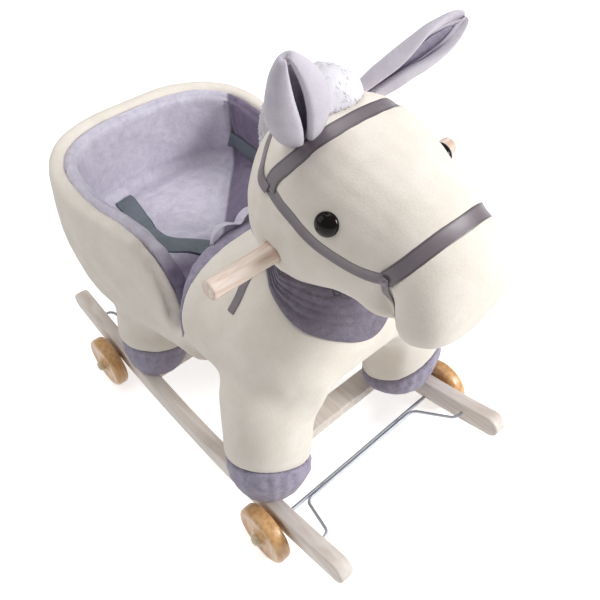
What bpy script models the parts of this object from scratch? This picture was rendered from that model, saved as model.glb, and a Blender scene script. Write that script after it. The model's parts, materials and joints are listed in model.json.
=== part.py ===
"""A plush ride-on rocking horse whose wooden rockers also carry flip-down wheels.

Metres, +Z up. The origin is on the floor under the middle of the toy. The horse faces -Y, so its
left side is +X. It stands on its wheels: both wire frames are swung in and locked under the rockers.
"""

import math

import bmesh
import bpy
from mathutils import Matrix, Vector
from mathutils.bvhtree import BVHTree

GAP = 0.0003  # left between pieces that touch
SIDES = (("left", 1), ("right", -1))
ENDS = (("front", -1), ("rear", 1))

# Rockers and crossbars
ROCKER_LENGTH = 0.600
ROCKER_RADIUS = 1.103
ROCKER_HEIGHT = 0.0316
ROCKER_THICKNESS = 0.020
ROCKER_SPACING = 0.278
ROCKER_EDGE = 0.002
ROCKER_STEPS = 15
CROSSBAR_FRONT_Y = -0.110
CROSSBAR_REAR_Y = 0.120
CROSSBAR_DEPTH = 0.032
CROSSBAR_THICKNESS = 0.018
CROSSBAR_EDGE = 0.002
TENON_LENGTH = 0.006
TENON_SHOULDER = 0.003  # step from a crossbar's faces down to its tenon

# Wheels on their swinging wire frames
WHEEL_RADIUS = 0.0393
WHEEL_WIDTH = 0.020
WHEEL_EDGE = 0.006
WHEEL_DISH = 0.0015
BOSS_RADIUS = 0.011
BOSS_HEIGHT = 0.0015
INNER_BOSS_HEIGHT = 0.0055  # holds the wheel off the rocker
WHEEL_STEPS = 28
AXLE_RADIUS = 0.0025
PIVOT_INSET = 0.054  # from a rocker's tip back to its wire frame's pivot
PIVOT_Y = ROCKER_LENGTH / 2 - PIVOT_INSET
ARM_RUN = 0.062  # from the pivot to the axle along the rocker
AXLE_Y = PIVOT_Y - ARM_RUN
CAP_RADIUS = 0.0075
CAP_HEIGHT = 0.0075
WIRE_RADIUS = 0.002
WIRE_BEND = 0.012
WIRE_ARM_INSET = 0.012
WIRE_SPLAY = 0.018
PEG_DEPTH = 0.008

# Inner frame: posts in the legs, a seat board, a neck board and a back panel
POST_FOOT_X = 0.137
POST_HEAD_X = 0.098
POST_WIDTH = 0.018
POST_DEPTH = 0.028
POST_TENON_LENGTH = 0.006
POST_TENON_WIDTH = 0.010
POST_TENON_DEPTH = 0.018
BOARD_HALF_WIDTH = 0.110
BOARD_TAIL_HALF_WIDTH = 0.064
BOARD_FRONT_Y = -0.158
BOARD_WAIST_Y = 0.155
BOARD_REAR_Y = 0.262
BOARD_Z = 0.204
BOARD_THICKNESS = 0.012
BACK_PANEL_Y = 0.2675
BACK_PANEL_HALF_WIDTH = 0.056
BACK_PANEL_THICKNESS = 0.004
BACK_PANEL_TOP = 0.350
NECK_BOARD_WIDTH = 0.060
NECK_BOARD_THICKNESS = 0.030
NECK_BOARD_TOP = 0.030  # above the handle's axis
HANDLE_Y = -0.1404
HANDLE_Z = 0.4193
HANDLE_LENGTH = 0.318
HANDLE_RADIUS = 0.010
HANDLE_EDGE = 0.0015

# Stuffed legs and their velvet hooves
HOOVES = {  # middle x, middle y, radius, and how far the seam climbs outwards and forwards
    "front": (0.118, -0.143, 0.052, 0.60, 0.52),
    "rear": (0.110, 0.125, 0.045, 0.46, 0.10),
}
HOOF_HEIGHT = {"front": 0.052, "rear": 0.038}
HOOF_FOOT = {"front": 0.70, "rear": 0.86}  # the sole's radius as a share of the top's
HOOF_LEVELS = (0.0, 0.10, 0.30, 0.60, 1.0)
LEG_SIDES = 20
LEG_TOP_Z = 0.245
LEG_LEAN_X = 0.034

# Stuffed body, rump and head
SPLIT_Y = -0.012
RUMP_TOP = 0.227
RUMP_BOTTOM = 0.150
BODY_HALF_WIDTH = 0.133
HEAD_Y = -0.143
HEAD_Z = 0.437
HEAD_PITCH = math.radians(12)

# Seat tub
TUB_FRONT_HALF = 0.131
TUB_BACK_HALF = 0.157
TUB_TURN_Y = 0.150
TUB_BACK_Y = 0.281
TUB_ROUNDNESS = 2.7
TUB_WALL = 0.022
TUB_BULGE = 0.005
RIM_BACK_Z = 0.372
RIM_SIDE_Z = 0.347
WING_START_Y = 0.100
WING_END_Y = 0.010
WING_END_Z = 0.236
WING_CURVE = 1.85
LINING_THICKNESS = 0.016
LINING_DROP = 0.005
CUSHION_THICKNESS = 0.034
CUSHION_SLACK = 0.0035
POMMEL_TOP_DEPTH = 0.034
POMMEL_FOOT_DEPTH = 0.010
POMMEL_TOP = 0.329
EAR_HALF_WIDTH = {"left": 0.018, "right": 0.023}  # the left ear is folded narrower
EAR_THICKNESS = 0.007
EAR_CUP = 0.011
EAR_LINING_THICKNESS = 0.0012
EAR_LINING_CLEARANCE = 0.0014

# Face and bridle
EYE_RADIUS = 0.0108
RIBBON_THICKNESS = 0.0010
RIBBON_LIFT = 0.0009
LAYER = 0.0016  # from one ribbon to the next where they cross
BROWBAND_WIDTH = 0.016
NOSEBAND_WIDTH = 0.015
CHEEK_WIDTH = 0.011
CROWN_WIDTH = 0.009
CHIN_WIDTH = 0.007
REIN_WIDTH = 0.009
RIVET_RADIUS = 0.0042
RIVET_HEIGHT = 0.0024
SCARF_THICKNESS = 0.0022
BELT_WIDTH = 0.027
BELT_THICKNESS = 0.0016
BELT_CLEARANCE = {"left": 0.0004, "right": 0.0016}
KEEPER_WIDTH = 0.015
KEEPER_LOOPS = 4
KEEPER_RISE = 0.0065

WOOD = ("beech", (0.80, 0.70, 0.60), 0.55, 0.0)
WHEEL_WOOD = ("varnished_beech", (0.62, 0.33, 0.12), 0.35, 0.0)
PLYWOOD = ("plywood", (0.72, 0.55, 0.36), 0.6, 0.0)
STEEL = ("steel", (0.55, 0.56, 0.58), 0.3, 1.0)
PLUSH = ("cream_plush", (0.80, 0.76, 0.66), 0.9, 0.0)
VELVET = ("lilac_velvet", (0.46, 0.42, 0.52), 0.85, 0.0)
DARK_VELVET = ("grey_velvet", (0.34, 0.31, 0.40), 0.85, 0.0)
FUR = ("white_fur", (0.85, 0.84, 0.88), 0.95, 0.0)
RIBBON = ("satin_ribbon", (0.16, 0.13, 0.17), 0.4, 0.0)
WEBBING = ("belt_webbing", (0.08, 0.10, 0.12), 0.7, 0.0)
PLASTIC = ("black_plastic", (0.01, 0.008, 0.01), 0.08, 0.0)
CAP_PLASTIC = ("cap_plastic", (0.75, 0.68, 0.55), 0.4, 0.0)

for old in list(bpy.data.objects):
    bpy.data.objects.remove(old)

toy = bpy.data.collections.new("rocking_horse_with_wheels")
cutters = bpy.data.collections.new("cutters")
bpy.context.scene.collection.children.link(toy)
bpy.context.scene.collection.children.link(cutters)


# General helpers


def material(kind):
    name, colour, roughness, metallic = kind
    made = bpy.data.materials.get(name)
    if made is None:
        made = bpy.data.materials.new(name)
        made.use_nodes = True
        shader = made.node_tree.nodes["Principled BSDF"]
        shader.inputs["Base Color"].default_value = (*colour, 1.0)
        shader.inputs["Roughness"].default_value = roughness
        shader.inputs["Metallic"].default_value = metallic
    return made


def place(name, data, kind=None, at=(0, 0, 0), smooth=True):
    """An object for mesh or curve data, in the toy, or among the cutters when it has no material."""
    obj = bpy.data.objects.new(name, data)
    obj.location = at
    if kind is None:
        obj.hide_render = True
        obj.display_type = "WIRE"
        cutters.objects.link(obj)
        return obj
    data.materials.append(material(kind))
    toy.objects.link(obj)
    if smooth and obj.type == "MESH":
        data.shade_smooth()
        data.set_sharp_from_angle(angle=math.radians(35))
    return obj


def finish(bm, name, kind=None, at=(0, 0, 0)):
    bmesh.ops.recalc_face_normals(bm, faces=bm.faces)
    if bm.calc_volume(signed=True) < 0:
        bmesh.ops.reverse_faces(bm, faces=bm.faces)
    data = bpy.data.meshes.new(name)
    bm.to_mesh(data)
    bm.free()
    return place(name, data, kind, at)


def box(name, low, high, kind=None):
    low, high = Vector(low), Vector(high)
    bm = bmesh.new()
    bmesh.ops.create_cube(bm, size=1.0)
    bmesh.ops.scale(bm, vec=high - low, verts=bm.verts)
    return finish(bm, name, kind, (low + high) / 2)


def cylinder(name, start, end, radius, kind=None, steps=16):
    start, end = Vector(start), Vector(end)
    along = end - start
    bm = bmesh.new()
    bmesh.ops.create_cone(
        bm, cap_ends=True, segments=steps, radius1=radius, radius2=radius, depth=along.length
    )
    turn = along.to_track_quat("Z", "Y").to_matrix().to_4x4()
    bmesh.ops.transform(bm, matrix=turn, verts=bm.verts)
    return finish(bm, name, kind, (start + end) / 2)


def turned(name, profile, kind, at, toward, steps, closed=False):
    """A lathe-turned piece: profile points are (radius, height), down the outer side first."""
    data = bpy.data.meshes.new(name)
    count = len(profile)
    edges = [(i, (i + 1) % count) for i in range(count if closed else count - 1)]
    data.from_pydata([(r, 0.0, h) for r, h in profile], edges, [])
    obj = place(name, data, kind, at)
    obj.rotation_euler = Vector(toward).to_track_quat("Z", "Y").to_euler()
    screw = obj.modifiers.new("turned", "SCREW")
    screw.steps = steps
    screw.render_steps = steps
    screw.use_merge_vertices = True
    screw.merge_threshold = 0.00005
    screw.use_smooth_shade = True
    return obj


def cut(piece, *tools):
    for tool in tools:
        boolean = piece.modifiers.new("cut", "BOOLEAN")
        boolean.operation = "DIFFERENCE"
        boolean.object = tool
    return piece


def join(piece, tool):
    boolean = piece.modifiers.new("join", "BOOLEAN")
    boolean.operation = "UNION"
    boolean.object = tool
    return piece


def round_edges(piece, width, segments=2):
    bevel = piece.modifiers.new("edges", "BEVEL")
    bevel.width = width
    bevel.segments = segments
    bevel.limit_method = "ANGLE"
    bevel.angle_limit = math.radians(40)
    return piece


def smooth_form(piece, levels=1):
    subdivide = piece.modifiers.new("form", "SUBSURF")
    subdivide.levels = levels
    subdivide.render_levels = levels
    return piece


def spread(first, last, count):
    return [first + (last - first) * i / (count - 1) for i in range(count)]


def blend(a, b, share):
    return a + (b - a) * share


def ease(share):
    share = min(1.0, max(0.0, share))
    return share * share * (3 - 2 * share)


def power(value, exponent):
    return math.copysign(abs(value) ** exponent, value)


def loft(name, rings, kind, levels=1, tips=False, flat_ends=()):
    """A closed body through rings of points. Ends are flat caps, or come to the tip points given."""
    bm = bmesh.new()
    rows = [[bm.verts.new(p) for p in ring] for ring in rings]
    count = len(rings[0])
    for lower, upper in zip(rows, rows[1:]):
        for i in range(count):
            j = (i + 1) % count
            bm.faces.new((lower[i], lower[j], upper[j], upper[i]))
    ends = (rows[0], rows[-1])
    for k, row in enumerate(ends):
        middle = sum((v.co for v in row), Vector()) / count
        if tips:
            middle = Vector(tips[k])
        centre = bm.verts.new(middle)
        for i in range(count):
            bm.faces.new((row[i], row[(i + 1) % count], centre))
    crease = bm.edges.layers.float.new("crease_edge")
    for k in flat_ends:
        row = set(ends[k])
        for edge in bm.edges:
            if edge.verts[0] in row and edge.verts[1] in row:
                edge[crease] = 1.0
    bmesh.ops.recalc_face_normals(bm, faces=bm.faces)
    piece = finish(bm, name, kind)
    return smooth_form(piece, levels) if levels else piece


def superellipse(count, half_wide, half_high, roundness, squeeze=0.0):
    """Points round a rounded rectangle; squeeze narrows it towards the top."""
    points = []
    for i in range(count):
        angle = 2 * math.pi * (i + 0.5) / count
        across = power(math.cos(angle), 2 / roundness)
        up = power(math.sin(angle), 2 / roundness)
        points.append((half_wide * across * (1 - squeeze * max(0.0, up)), half_high * up))
    return points


# Wooden base


def sole(y):
    """Height of a rocker's curved under side."""
    drop = ROCKER_RADIUS - math.sqrt(ROCKER_RADIUS**2 - AXLE_Y**2)
    return WHEEL_RADIUS - drop + ROCKER_RADIUS - math.sqrt(ROCKER_RADIUS**2 - y * y)


def deck(y):
    return sole(y) + ROCKER_HEIGHT


PIVOT_Z = sole(PIVOT_Y) + ROCKER_HEIGHT / 2
ROCKER_INNER_X = (ROCKER_SPACING - ROCKER_THICKNESS) / 2
ROCKER_OUTER_X = (ROCKER_SPACING + ROCKER_THICKNESS) / 2
WHEEL_X = ROCKER_OUTER_X + GAP + INNER_BOSS_HEIGHT


def rocker_outline():
    tip = ROCKER_HEIGHT / 2
    reach = ROCKER_LENGTH / 2 - tip
    lower = [(y, sole(y)) for y in spread(-reach, reach, ROCKER_STEPS)]
    upper = [(y, deck(y)) for y in spread(reach, -reach, ROCKER_STEPS)]
    nose = []
    for angle in spread(-90, 90, 9)[1:-1]:
        turn = math.radians(angle)
        nose.append((reach + tip * math.cos(turn), sole(reach) + tip + tip * math.sin(turn)))
    tail = [(-y, z) for y, z in reversed(nose)]
    return lower + nose + upper + tail


def flat_piece(name, outline, thickness, kind, at, turn):
    """A board sawn to an outline, as a mesh: its flat curve is filled, extruded and welded."""
    curve = bpy.data.curves.new(name + "_outline", "CURVE")
    curve.dimensions = "2D"
    curve.fill_mode = "BOTH"
    curve.extrude = thickness / 2
    spline = curve.splines.new("POLY")
    spline.points.add(len(outline) - 1)
    for point, (x, y) in zip(spline.points, outline):
        point.co = (x, y, 0.0, 1.0)
    spline.use_cyclic_u = True
    guide = bpy.data.objects.new(name + "_outline", curve)
    bpy.context.scene.collection.objects.link(guide)
    bpy.context.view_layer.update()
    found = guide.evaluated_get(bpy.context.evaluated_depsgraph_get())
    bm = bmesh.new()
    flat = bpy.data.meshes.new_from_object(found)
    bm.from_mesh(flat)
    bmesh.ops.remove_doubles(bm, verts=bm.verts, dist=0.00001)
    bpy.data.objects.remove(guide)
    piece = finish(bm, name, kind, at)
    piece.rotation_euler = turn
    return piece


def make_rockers():
    upright = (math.radians(90), 0, math.radians(90))
    for side, s in SIDES:
        x = s * ROCKER_SPACING / 2
        name = "rocker_" + side
        rocker = flat_piece(name, rocker_outline(), ROCKER_THICKNESS, WOOD, (x, 0, 0), upright)
        round_edges(rocker, ROCKER_EDGE)
        inner = s * ROCKER_INNER_X
        for end, e in ENDS:
            label = f"{end}_{side}"
            low, high = crossbar_corners(e, ROCKER_INNER_X, TENON_SHOULDER - GAP)
            start, stop = sorted((inner - s * 0.01, inner + s * (TENON_LENGTH + GAP)))
            mortise = box("mortise_" + label, (start, low.y, low.z), (stop, high.y, high.z))
            peg_hole = cylinder(
                "peg_hole_" + label,
                (inner - s * 0.01, e * PIVOT_Y, PIVOT_Z),
                (inner + s * (PEG_DEPTH + GAP), e * PIVOT_Y, PIVOT_Z),
                WIRE_RADIUS + GAP,
            )
            notch = cylinder(
                "axle_notch_" + label,
                (x - 0.02, e * AXLE_Y, WHEEL_RADIUS),
                (x + 0.02, e * AXLE_Y, WHEEL_RADIUS),
                AXLE_RADIUS + GAP,
            )
            cut(rocker, mortise, peg_hole, notch, tenon("tenon_hole_" + label, end, s, grow=GAP))


def crossbar_corners(e, reach, inset=0.0):
    """Opposite corners of a crossbar that ends at x = reach, with its faces set in by inset."""
    y = CROSSBAR_FRONT_Y if e < 0 else CROSSBAR_REAR_Y
    middle = Vector((0, y, (sole(y) + deck(y)) / 2))
    half = Vector((reach, CROSSBAR_DEPTH / 2 - inset, CROSSBAR_THICKNESS / 2 - inset))
    return middle - half, middle + half


def make_crossbars():
    """Each bar ends at the rockers' inner faces and is let into them by a thinner tenon."""
    for end, e in ENDS:
        bar = box(end + "_crossbar", *crossbar_corners(e, ROCKER_INNER_X - GAP), WOOD)
        round_edges(bar, CROSSBAR_EDGE)
        reach = ROCKER_INNER_X + TENON_LENGTH
        join(bar, box(end + "_crossbar_tenons", *crossbar_corners(e, reach, TENON_SHOULDER)))


# Wheels and their wire frames


def rounded_path(corners, radius, steps=4):
    """Straight runs joined by arcs, as a bender makes them."""
    points = [Vector(corners[0])]
    for before, corner, after in zip(corners, corners[1:], corners[2:]):
        corner = Vector(corner)
        back = (Vector(before) - corner).normalized()
        ahead = (Vector(after) - corner).normalized()
        half = back.angle(ahead) / 2
        centre = corner + (back + ahead).normalized() * radius / math.sin(half)
        start = corner + back * radius / math.tan(half) - centre
        axis = back.cross(ahead)
        for share in spread(0, 1, steps + 1):
            turn = Matrix.Rotation((math.pi - 2 * half) * -share, 3, axis)
            points.append(centre + turn @ start)
    points.append(Vector(corners[-1]))
    return points


def wire(name, points, radius, kind):
    curve = bpy.data.curves.new(name, "CURVE")
    curve.dimensions = "3D"
    curve.bevel_depth = radius
    curve.bevel_resolution = 2
    curve.use_fill_caps = True
    spline = curve.splines.new("POLY")
    spline.points.add(len(points) - 1)
    for point, place_at in zip(spline.points, points):
        point.co = (*place_at, 1.0)
    return place(name, curve, kind)


def wheel_profile():
    """Radius and height of the wheel's section: outer face, tread, inner face and long inner boss."""
    bore = AXLE_RADIUS + GAP
    half = WHEEL_WIDTH / 2
    face = half - WHEEL_DISH
    side = [
        (BOSS_RADIUS + 0.0015, face),
        (WHEEL_RADIUS - WHEEL_EDGE - 0.003, face),
    ]
    for angle in (90, 50, 10):
        turn = math.radians(angle)
        side.append((
            WHEEL_RADIUS - WHEEL_EDGE + WHEEL_EDGE * math.cos(turn),
            half - WHEEL_EDGE + WHEEL_EDGE * math.sin(turn),
        ))
    side[-1] = (WHEEL_RADIUS, side[-1][1])
    outer = [(bore, half + BOSS_HEIGHT), (BOSS_RADIUS, half + BOSS_HEIGHT)] + side
    inner = [(r, -h) for r, h in reversed(side)]
    boss = -half - INNER_BOSS_HEIGHT
    return outer + inner + [(BOSS_RADIUS - 0.003, boss), (bore, boss)]


def cap_profile():
    """A domed push-on cap: round top, with a blind hole for the axle's end."""
    bore = AXLE_RADIUS + GAP
    dome = [(CAP_RADIUS * math.sin(math.radians(a)),
             CAP_HEIGHT * (0.35 + 0.65 * math.cos(math.radians(a)))) for a in (0, 30, 60, 85)]
    rim = [(CAP_RADIUS, 0.0), (bore, 0.0), (bore, CAP_HEIGHT * 0.55), (0.0, CAP_HEIGHT * 0.55)]
    return dome + rim


def make_wheels():
    half = WHEEL_WIDTH / 2
    cap_x = WHEEL_X + WHEEL_WIDTH + BOSS_HEIGHT + GAP
    for end, e in ENDS:
        axle_at = Vector((0, e * AXLE_Y, WHEEL_RADIUS))
        arm = axle_at - Vector((0, e * PIVOT_Y, PIVOT_Z))
        seat = axle_at - arm.normalized() * (AXLE_RADIUS + WIRE_RADIUS + GAP)
        reach = cap_x + CAP_HEIGHT * 0.55 - GAP
        cylinder(f"{end}_axle", axle_at - Vector((reach, 0, 0)), axle_at + Vector((reach, 0, 0)),
                 AXLE_RADIUS, STEEL)
        peg_x = ROCKER_INNER_X + PEG_DEPTH
        pivot_x = ROCKER_INNER_X - WIRE_ARM_INSET
        middle_x = pivot_x - WIRE_SPLAY
        half_loop = [(peg_x, e * PIVOT_Y, PIVOT_Z), (pivot_x, e * PIVOT_Y, PIVOT_Z),
                     (middle_x, seat.y, seat.z)]
        corners = half_loop + [(-x, y, z) for x, y, z in reversed(half_loop)]
        wire(f"{end}_wheel_frame", rounded_path(corners, WIRE_BEND), WIRE_RADIUS, STEEL)
        for side, s in SIDES:
            label = f"{end}_{side}"
            outward = (s, 0, 0)
            turned("wheel_" + label, wheel_profile(), WHEEL_WOOD,
                   axle_at + Vector((s * (WHEEL_X + half), 0, 0)), outward, WHEEL_STEPS, True)
            turned("axle_cap_" + label, cap_profile(), CAP_PLASTIC,
                   axle_at + Vector((s * cap_x, 0, 0)), outward, 16)


# Inner frame


def hoof_y(end):
    return HOOVES[end][1]


def post(name, end, s, kind=None, grow=0.0):
    """A leg post that leans in from the rocker to the seat board, its foot cut to the rocker."""
    y = hoof_y(end)
    bm = bmesh.new()
    bmesh.ops.create_cube(bm, size=1.0)
    for vert in bm.verts:
        low = vert.co.z < 0
        aside = vert.co.x * (POST_WIDTH + 2 * grow)
        vert.co.y = y + vert.co.y * (POST_DEPTH + 2 * grow)
        foot = deck(vert.co.y)
        vert.co.z = foot + GAP - grow * 20 if low else BOARD_Z - GAP + grow * 4
        rise = (vert.co.z - deck(y)) / (BOARD_Z - deck(y))
        vert.co.x = s * blend(POST_FOOT_X, POST_HEAD_X, rise) + aside
    return finish(bm, name, kind)


def tenon(name, end, s, kind=None, grow=0.0):
    """The stub on a post's foot that is glued into the rocker's top edge."""
    x, y = s * POST_FOOT_X, hoof_y(end)
    reach = Vector((POST_TENON_WIDTH / 2, POST_TENON_DEPTH / 2, 0))
    reach += Vector((grow, grow, 0))
    low = Vector((x, y, deck(y) - POST_TENON_LENGTH - grow)) - reach
    high = Vector((x, y, deck(y) + 0.006)) + reach
    return box(name, low, high, kind)


def make_posts():
    for end, _ in ENDS:
        for side, s in SIDES:
            made = post(f"leg_post_{end}_{side}", end, s, PLYWOOD)
            join(made, tenon(f"tenon_{end}_{side}", end, s))


def prism(name, outline, low, high, kind=None):
    bm = bmesh.new()
    rows = [[bm.verts.new((x, y, z)) for x, y in outline] for z in (low, high)]
    count = len(outline)
    for i in range(count):
        j = (i + 1) % count
        bm.faces.new((rows[0][i], rows[0][j], rows[1][j], rows[1][i]))
    bm.faces.new(rows[0])
    bm.faces.new(rows[1])
    return finish(bm, name, kind)


def board_outline(grow=0.0):
    right = [(BOARD_HALF_WIDTH + grow, BOARD_FRONT_Y - grow), (BOARD_HALF_WIDTH + grow, BOARD_WAIST_Y),
             (BOARD_TAIL_HALF_WIDTH + grow, BOARD_REAR_Y + grow)]
    return right + [(-x, y) for x, y in reversed(right)]


def make_boards():
    top = BOARD_Z + BOARD_THICKNESS
    prism("seat_board", board_outline(), BOARD_Z, top, PLYWOOD)
    prism("board_pocket", board_outline(GAP), BOARD_Z - GAP, top + GAP)
    grown = Vector((GAP, GAP, GAP))
    neck_low = Vector((-NECK_BOARD_WIDTH / 2, HANDLE_Y - NECK_BOARD_THICKNESS / 2, top + GAP))
    neck_high = Vector((NECK_BOARD_WIDTH / 2, HANDLE_Y + NECK_BOARD_THICKNESS / 2,
                        HANDLE_Z + NECK_BOARD_TOP))
    neck = box("neck_board", neck_low, neck_high, PLYWOOD)
    cut(neck, cylinder("neck_bore", (-0.1, HANDLE_Y, HANDLE_Z), (0.1, HANDLE_Y, HANDLE_Z),
                       HANDLE_RADIUS + GAP, steps=24))
    box("neck_pocket", neck_low - grown * 4, neck_high + grown)
    panel_low = Vector((-BACK_PANEL_HALF_WIDTH, BACK_PANEL_Y - BACK_PANEL_THICKNESS / 2, top + GAP))
    panel_high = Vector((BACK_PANEL_HALF_WIDTH, BACK_PANEL_Y + BACK_PANEL_THICKNESS / 2, BACK_PANEL_TOP))
    box("back_panel", panel_low, panel_high, PLYWOOD)
    box("panel_pocket", panel_low - grown * 4, panel_high + grown)
    half = HANDLE_LENGTH / 2
    handle = cylinder("handle", (-half, HANDLE_Y, HANDLE_Z), (half, HANDLE_Y, HANDLE_Z),
                      HANDLE_RADIUS, WOOD, steps=24)
    round_edges(handle, HANDLE_EDGE, 1)
    cylinder("handle_tunnel", (-half, HANDLE_Y, HANDLE_Z), (half, HANDLE_Y, HANDLE_Z),
             HANDLE_RADIUS + GAP, steps=24)


# Stuffed body


def body_rings(grow=0.0):
    """Sections of the chest and belly, each (y, half width, bottom, top, roundness, squeeze)."""
    sections = (
        (-0.196, 0.060, 0.206, 0.260, 2.0, 0.0),
        (-0.186, 0.104, 0.182, 0.293, 2.2, 0.10),
        (-0.160, 0.132, 0.165, 0.330, 2.6, 0.28),
        (-0.120, 0.142, 0.162, 0.378, 2.3, 0.46),
        (-0.075, 0.140, 0.166, 0.380, 2.3, 0.42),
        (-0.035, 0.136, 0.172, 0.336, 2.6, 0.08),
        (0.010, BODY_HALF_WIDTH, 0.176, 0.332, 2.6, 0.04),
        (0.040, BODY_HALF_WIDTH, 0.176, 0.332, 2.6, 0.04),
    )
    rings = []
    for y, wide, low, high, roundness, squeeze in sections:
        middle = (low + high) / 2
        shape = superellipse(16, wide + grow, (high - low) / 2 + grow, roundness, squeeze)
        rings.append([(x, y - grow if y < -0.15 else y, middle + z) for x, z in shape])
    return rings


def tub_outline(wide_front, wide_back, y_front, y_back, count=9):
    """Half the seat's plan, from its front end back to the middle of its back, as (x, y)."""
    points = []
    for y in spread(y_front, TUB_TURN_Y, 5)[:-1]:
        share = ease((y - y_front) / (TUB_TURN_Y - y_front))
        points.append((blend(wide_front, wide_back, share), y))
    for angle in spread(0, 90, count):
        turn = math.radians(angle)
        across = math.cos(turn) ** (2 / TUB_ROUNDNESS)
        back = math.sin(turn) ** (2 / TUB_ROUNDNESS)
        points.append((wide_back * across, TUB_TURN_Y + (y_back - TUB_TURN_Y) * back))
    return points


def whole_outline(half):
    return [(-x, y) for x, y in half] + [(x, y) for x, y in reversed(half[:-1])]


def offset_outline(points, inset):
    """Moves an open plan line inwards by inset, square to itself."""
    moved = []
    for i, (x, y) in enumerate(points):
        before = Vector(points[max(0, i - 1)])
        after = Vector(points[min(len(points) - 1, i + 1)])
        along = (after - before).normalized()
        moved.append((x + along.y * inset, y - along.x * inset))
    return moved


def rump_rings(grow=0.0):
    """Plan rings of the rump, from its under side up, open to the body at its front."""
    levels = (
        (RUMP_BOTTOM - grow, 0.094, 0.222),
        (RUMP_BOTTOM + 0.005 - grow, 0.118, 0.246),
        (RUMP_BOTTOM + 0.020, 0.138, 0.264),
        (RUMP_BOTTOM + 0.040, 0.149, 0.275),
        (RUMP_TOP - 0.020, TUB_BACK_HALF + 0.002, TUB_BACK_Y + 0.002),
        (RUMP_TOP, TUB_BACK_HALF, TUB_BACK_Y),
    )
    front = SPLIT_Y + GAP
    rings = []
    for z, wide, back in levels:
        narrow = wide * TUB_FRONT_HALF / TUB_BACK_HALF
        half = tub_outline(narrow + grow, wide + grow, front - 3 * grow, back + grow)
        line = whole_outline(half)
        first, last = line[0], line[-1]
        closing = [(blend(last[0], first[0], share), first[1]) for share in (0.25, 0.5, 0.75)]
        rings.append([(x, y, z) for x, y in line + closing])
    return rings


def rim_height(y):
    if y >= WING_START_Y:
        return blend(RIM_SIDE_Z, RIM_BACK_Z, (y - WING_START_Y) / (TUB_BACK_Y - WING_START_Y))
    reach = (WING_START_Y - y) / (WING_START_Y - WING_END_Y)
    fall = 1 - max(0.0, 1 - min(1.0, reach) ** WING_CURVE) ** (1 / WING_CURVE)
    return blend(RIM_SIDE_Z, WING_END_Z, fall)


WING_STATIONS = (0.0, 0.05, 0.12, 0.22, 0.36, 0.55, 0.78)


def tub_wall(name, kind, inset, thickness, drop, bulge=0.0):
    """An upright U-shaped wall round the seat, with a rounded top edge and sloping wings."""
    half = []
    for share in WING_STATIONS:
        y = blend(WING_END_Y, TUB_TURN_Y, share)
        half.append((blend(TUB_FRONT_HALF, TUB_BACK_HALF, ease(share)), y))
    half += tub_outline(TUB_FRONT_HALF, TUB_BACK_HALF, 0.0, TUB_BACK_Y)[4:]
    outer = offset_outline(whole_outline(half), inset)
    inner = offset_outline(outer, thickness)
    foot = RUMP_TOP + GAP
    radius = thickness / 2
    sections = []
    for (ox, oy), (ix, iy) in zip(outer, inner):
        crown = max(rim_height(oy) - drop - radius, foot + 0.004)
        tall = min(1.0, (crown - foot) / 0.06)
        section = []
        for share in (0.0, 0.3, 0.6, 1.0):
            puff = -bulge * tall * math.sin(math.pi * (0.15 + 0.85 * share)) / thickness
            section.append((blend(ox, ix, puff), blend(oy, iy, puff), blend(foot, crown, share)))
        for angle in (45, 90, 135):
            turn = math.radians(angle)
            share = (1 - math.cos(turn)) / 2
            section.append((blend(ox, ix, share), blend(oy, iy, share), crown + radius * math.sin(turn)))
        for share in (1.0, 0.5, 0.0):
            section.append((ix, iy, blend(foot, crown, share)))
        sections.append(section)
    return loft(name, sections, kind, levels=0)


def make_seat():
    tub = tub_wall("seat_tub", PLUSH, 0.0, TUB_WALL, 0.0, TUB_BULGE)
    cut(tub, bpy.data.objects["panel_pocket"])
    tub_wall("seat_lining", VELVET, TUB_WALL + GAP, LINING_THICKNESS, LINING_DROP)
    inset = TUB_WALL + LINING_THICKNESS + CUSHION_SLACK
    front = SPLIT_Y + POMMEL_FOOT_DEPTH + 3 * GAP
    half = tub_outline(TUB_FRONT_HALF, TUB_BACK_HALF, front, TUB_BACK_Y, 7)
    levels = ((0.0, 0.004), (0.35, 0.0), (0.75, 0.0), (0.95, 0.010), (1.10, 0.040))
    rings = []
    for rise, pull in levels:
        line = offset_outline(whole_outline(half), inset + pull)
        line = [(x, max(y, front + pull)) for x, y in line]
        first, last = line[0], line[-1]
        closing = [(blend(last[0], first[0], share), first[1]) for share in (0.25, 0.5, 0.75)]
        z = RUMP_TOP + GAP + CUSHION_THICKNESS * rise
        rings.append([(x, y, z) for x, y in line + closing])
    loft("seat_cushion", rings, VELVET, levels=0)
    make_pommel()


def make_pommel():
    """The padded arch behind the neck, deepest at its top."""
    foot = RUMP_TOP + GAP
    rows = []
    for depth, scale in ((0.0, 0.965), (0.45, 0.975), (0.85, 0.93), (1.0, 0.82)):
        ring = []
        for i in range(15):
            turn = math.pi * i / 14
            x = scale * BODY_HALF_WIDTH * power(math.cos(turn), 2 / 2.65)
            z = foot + (POMMEL_TOP - foot) * scale * math.sin(turn) ** (2 / 2.65)
            deep = blend(POMMEL_FOOT_DEPTH, POMMEL_TOP_DEPTH, ease((z - 0.262) / 0.07))
            ring.append((x, SPLIT_Y + GAP + depth * deep, z))
        for share in (0.25, 0.5, 0.75):
            x = blend(ring[14][0], ring[0][0], share)
            ring.append((x, ring[0][1], foot))
        rows.append(ring)
    loft("pommel_pad", rows, VELVET, levels=0)


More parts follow.
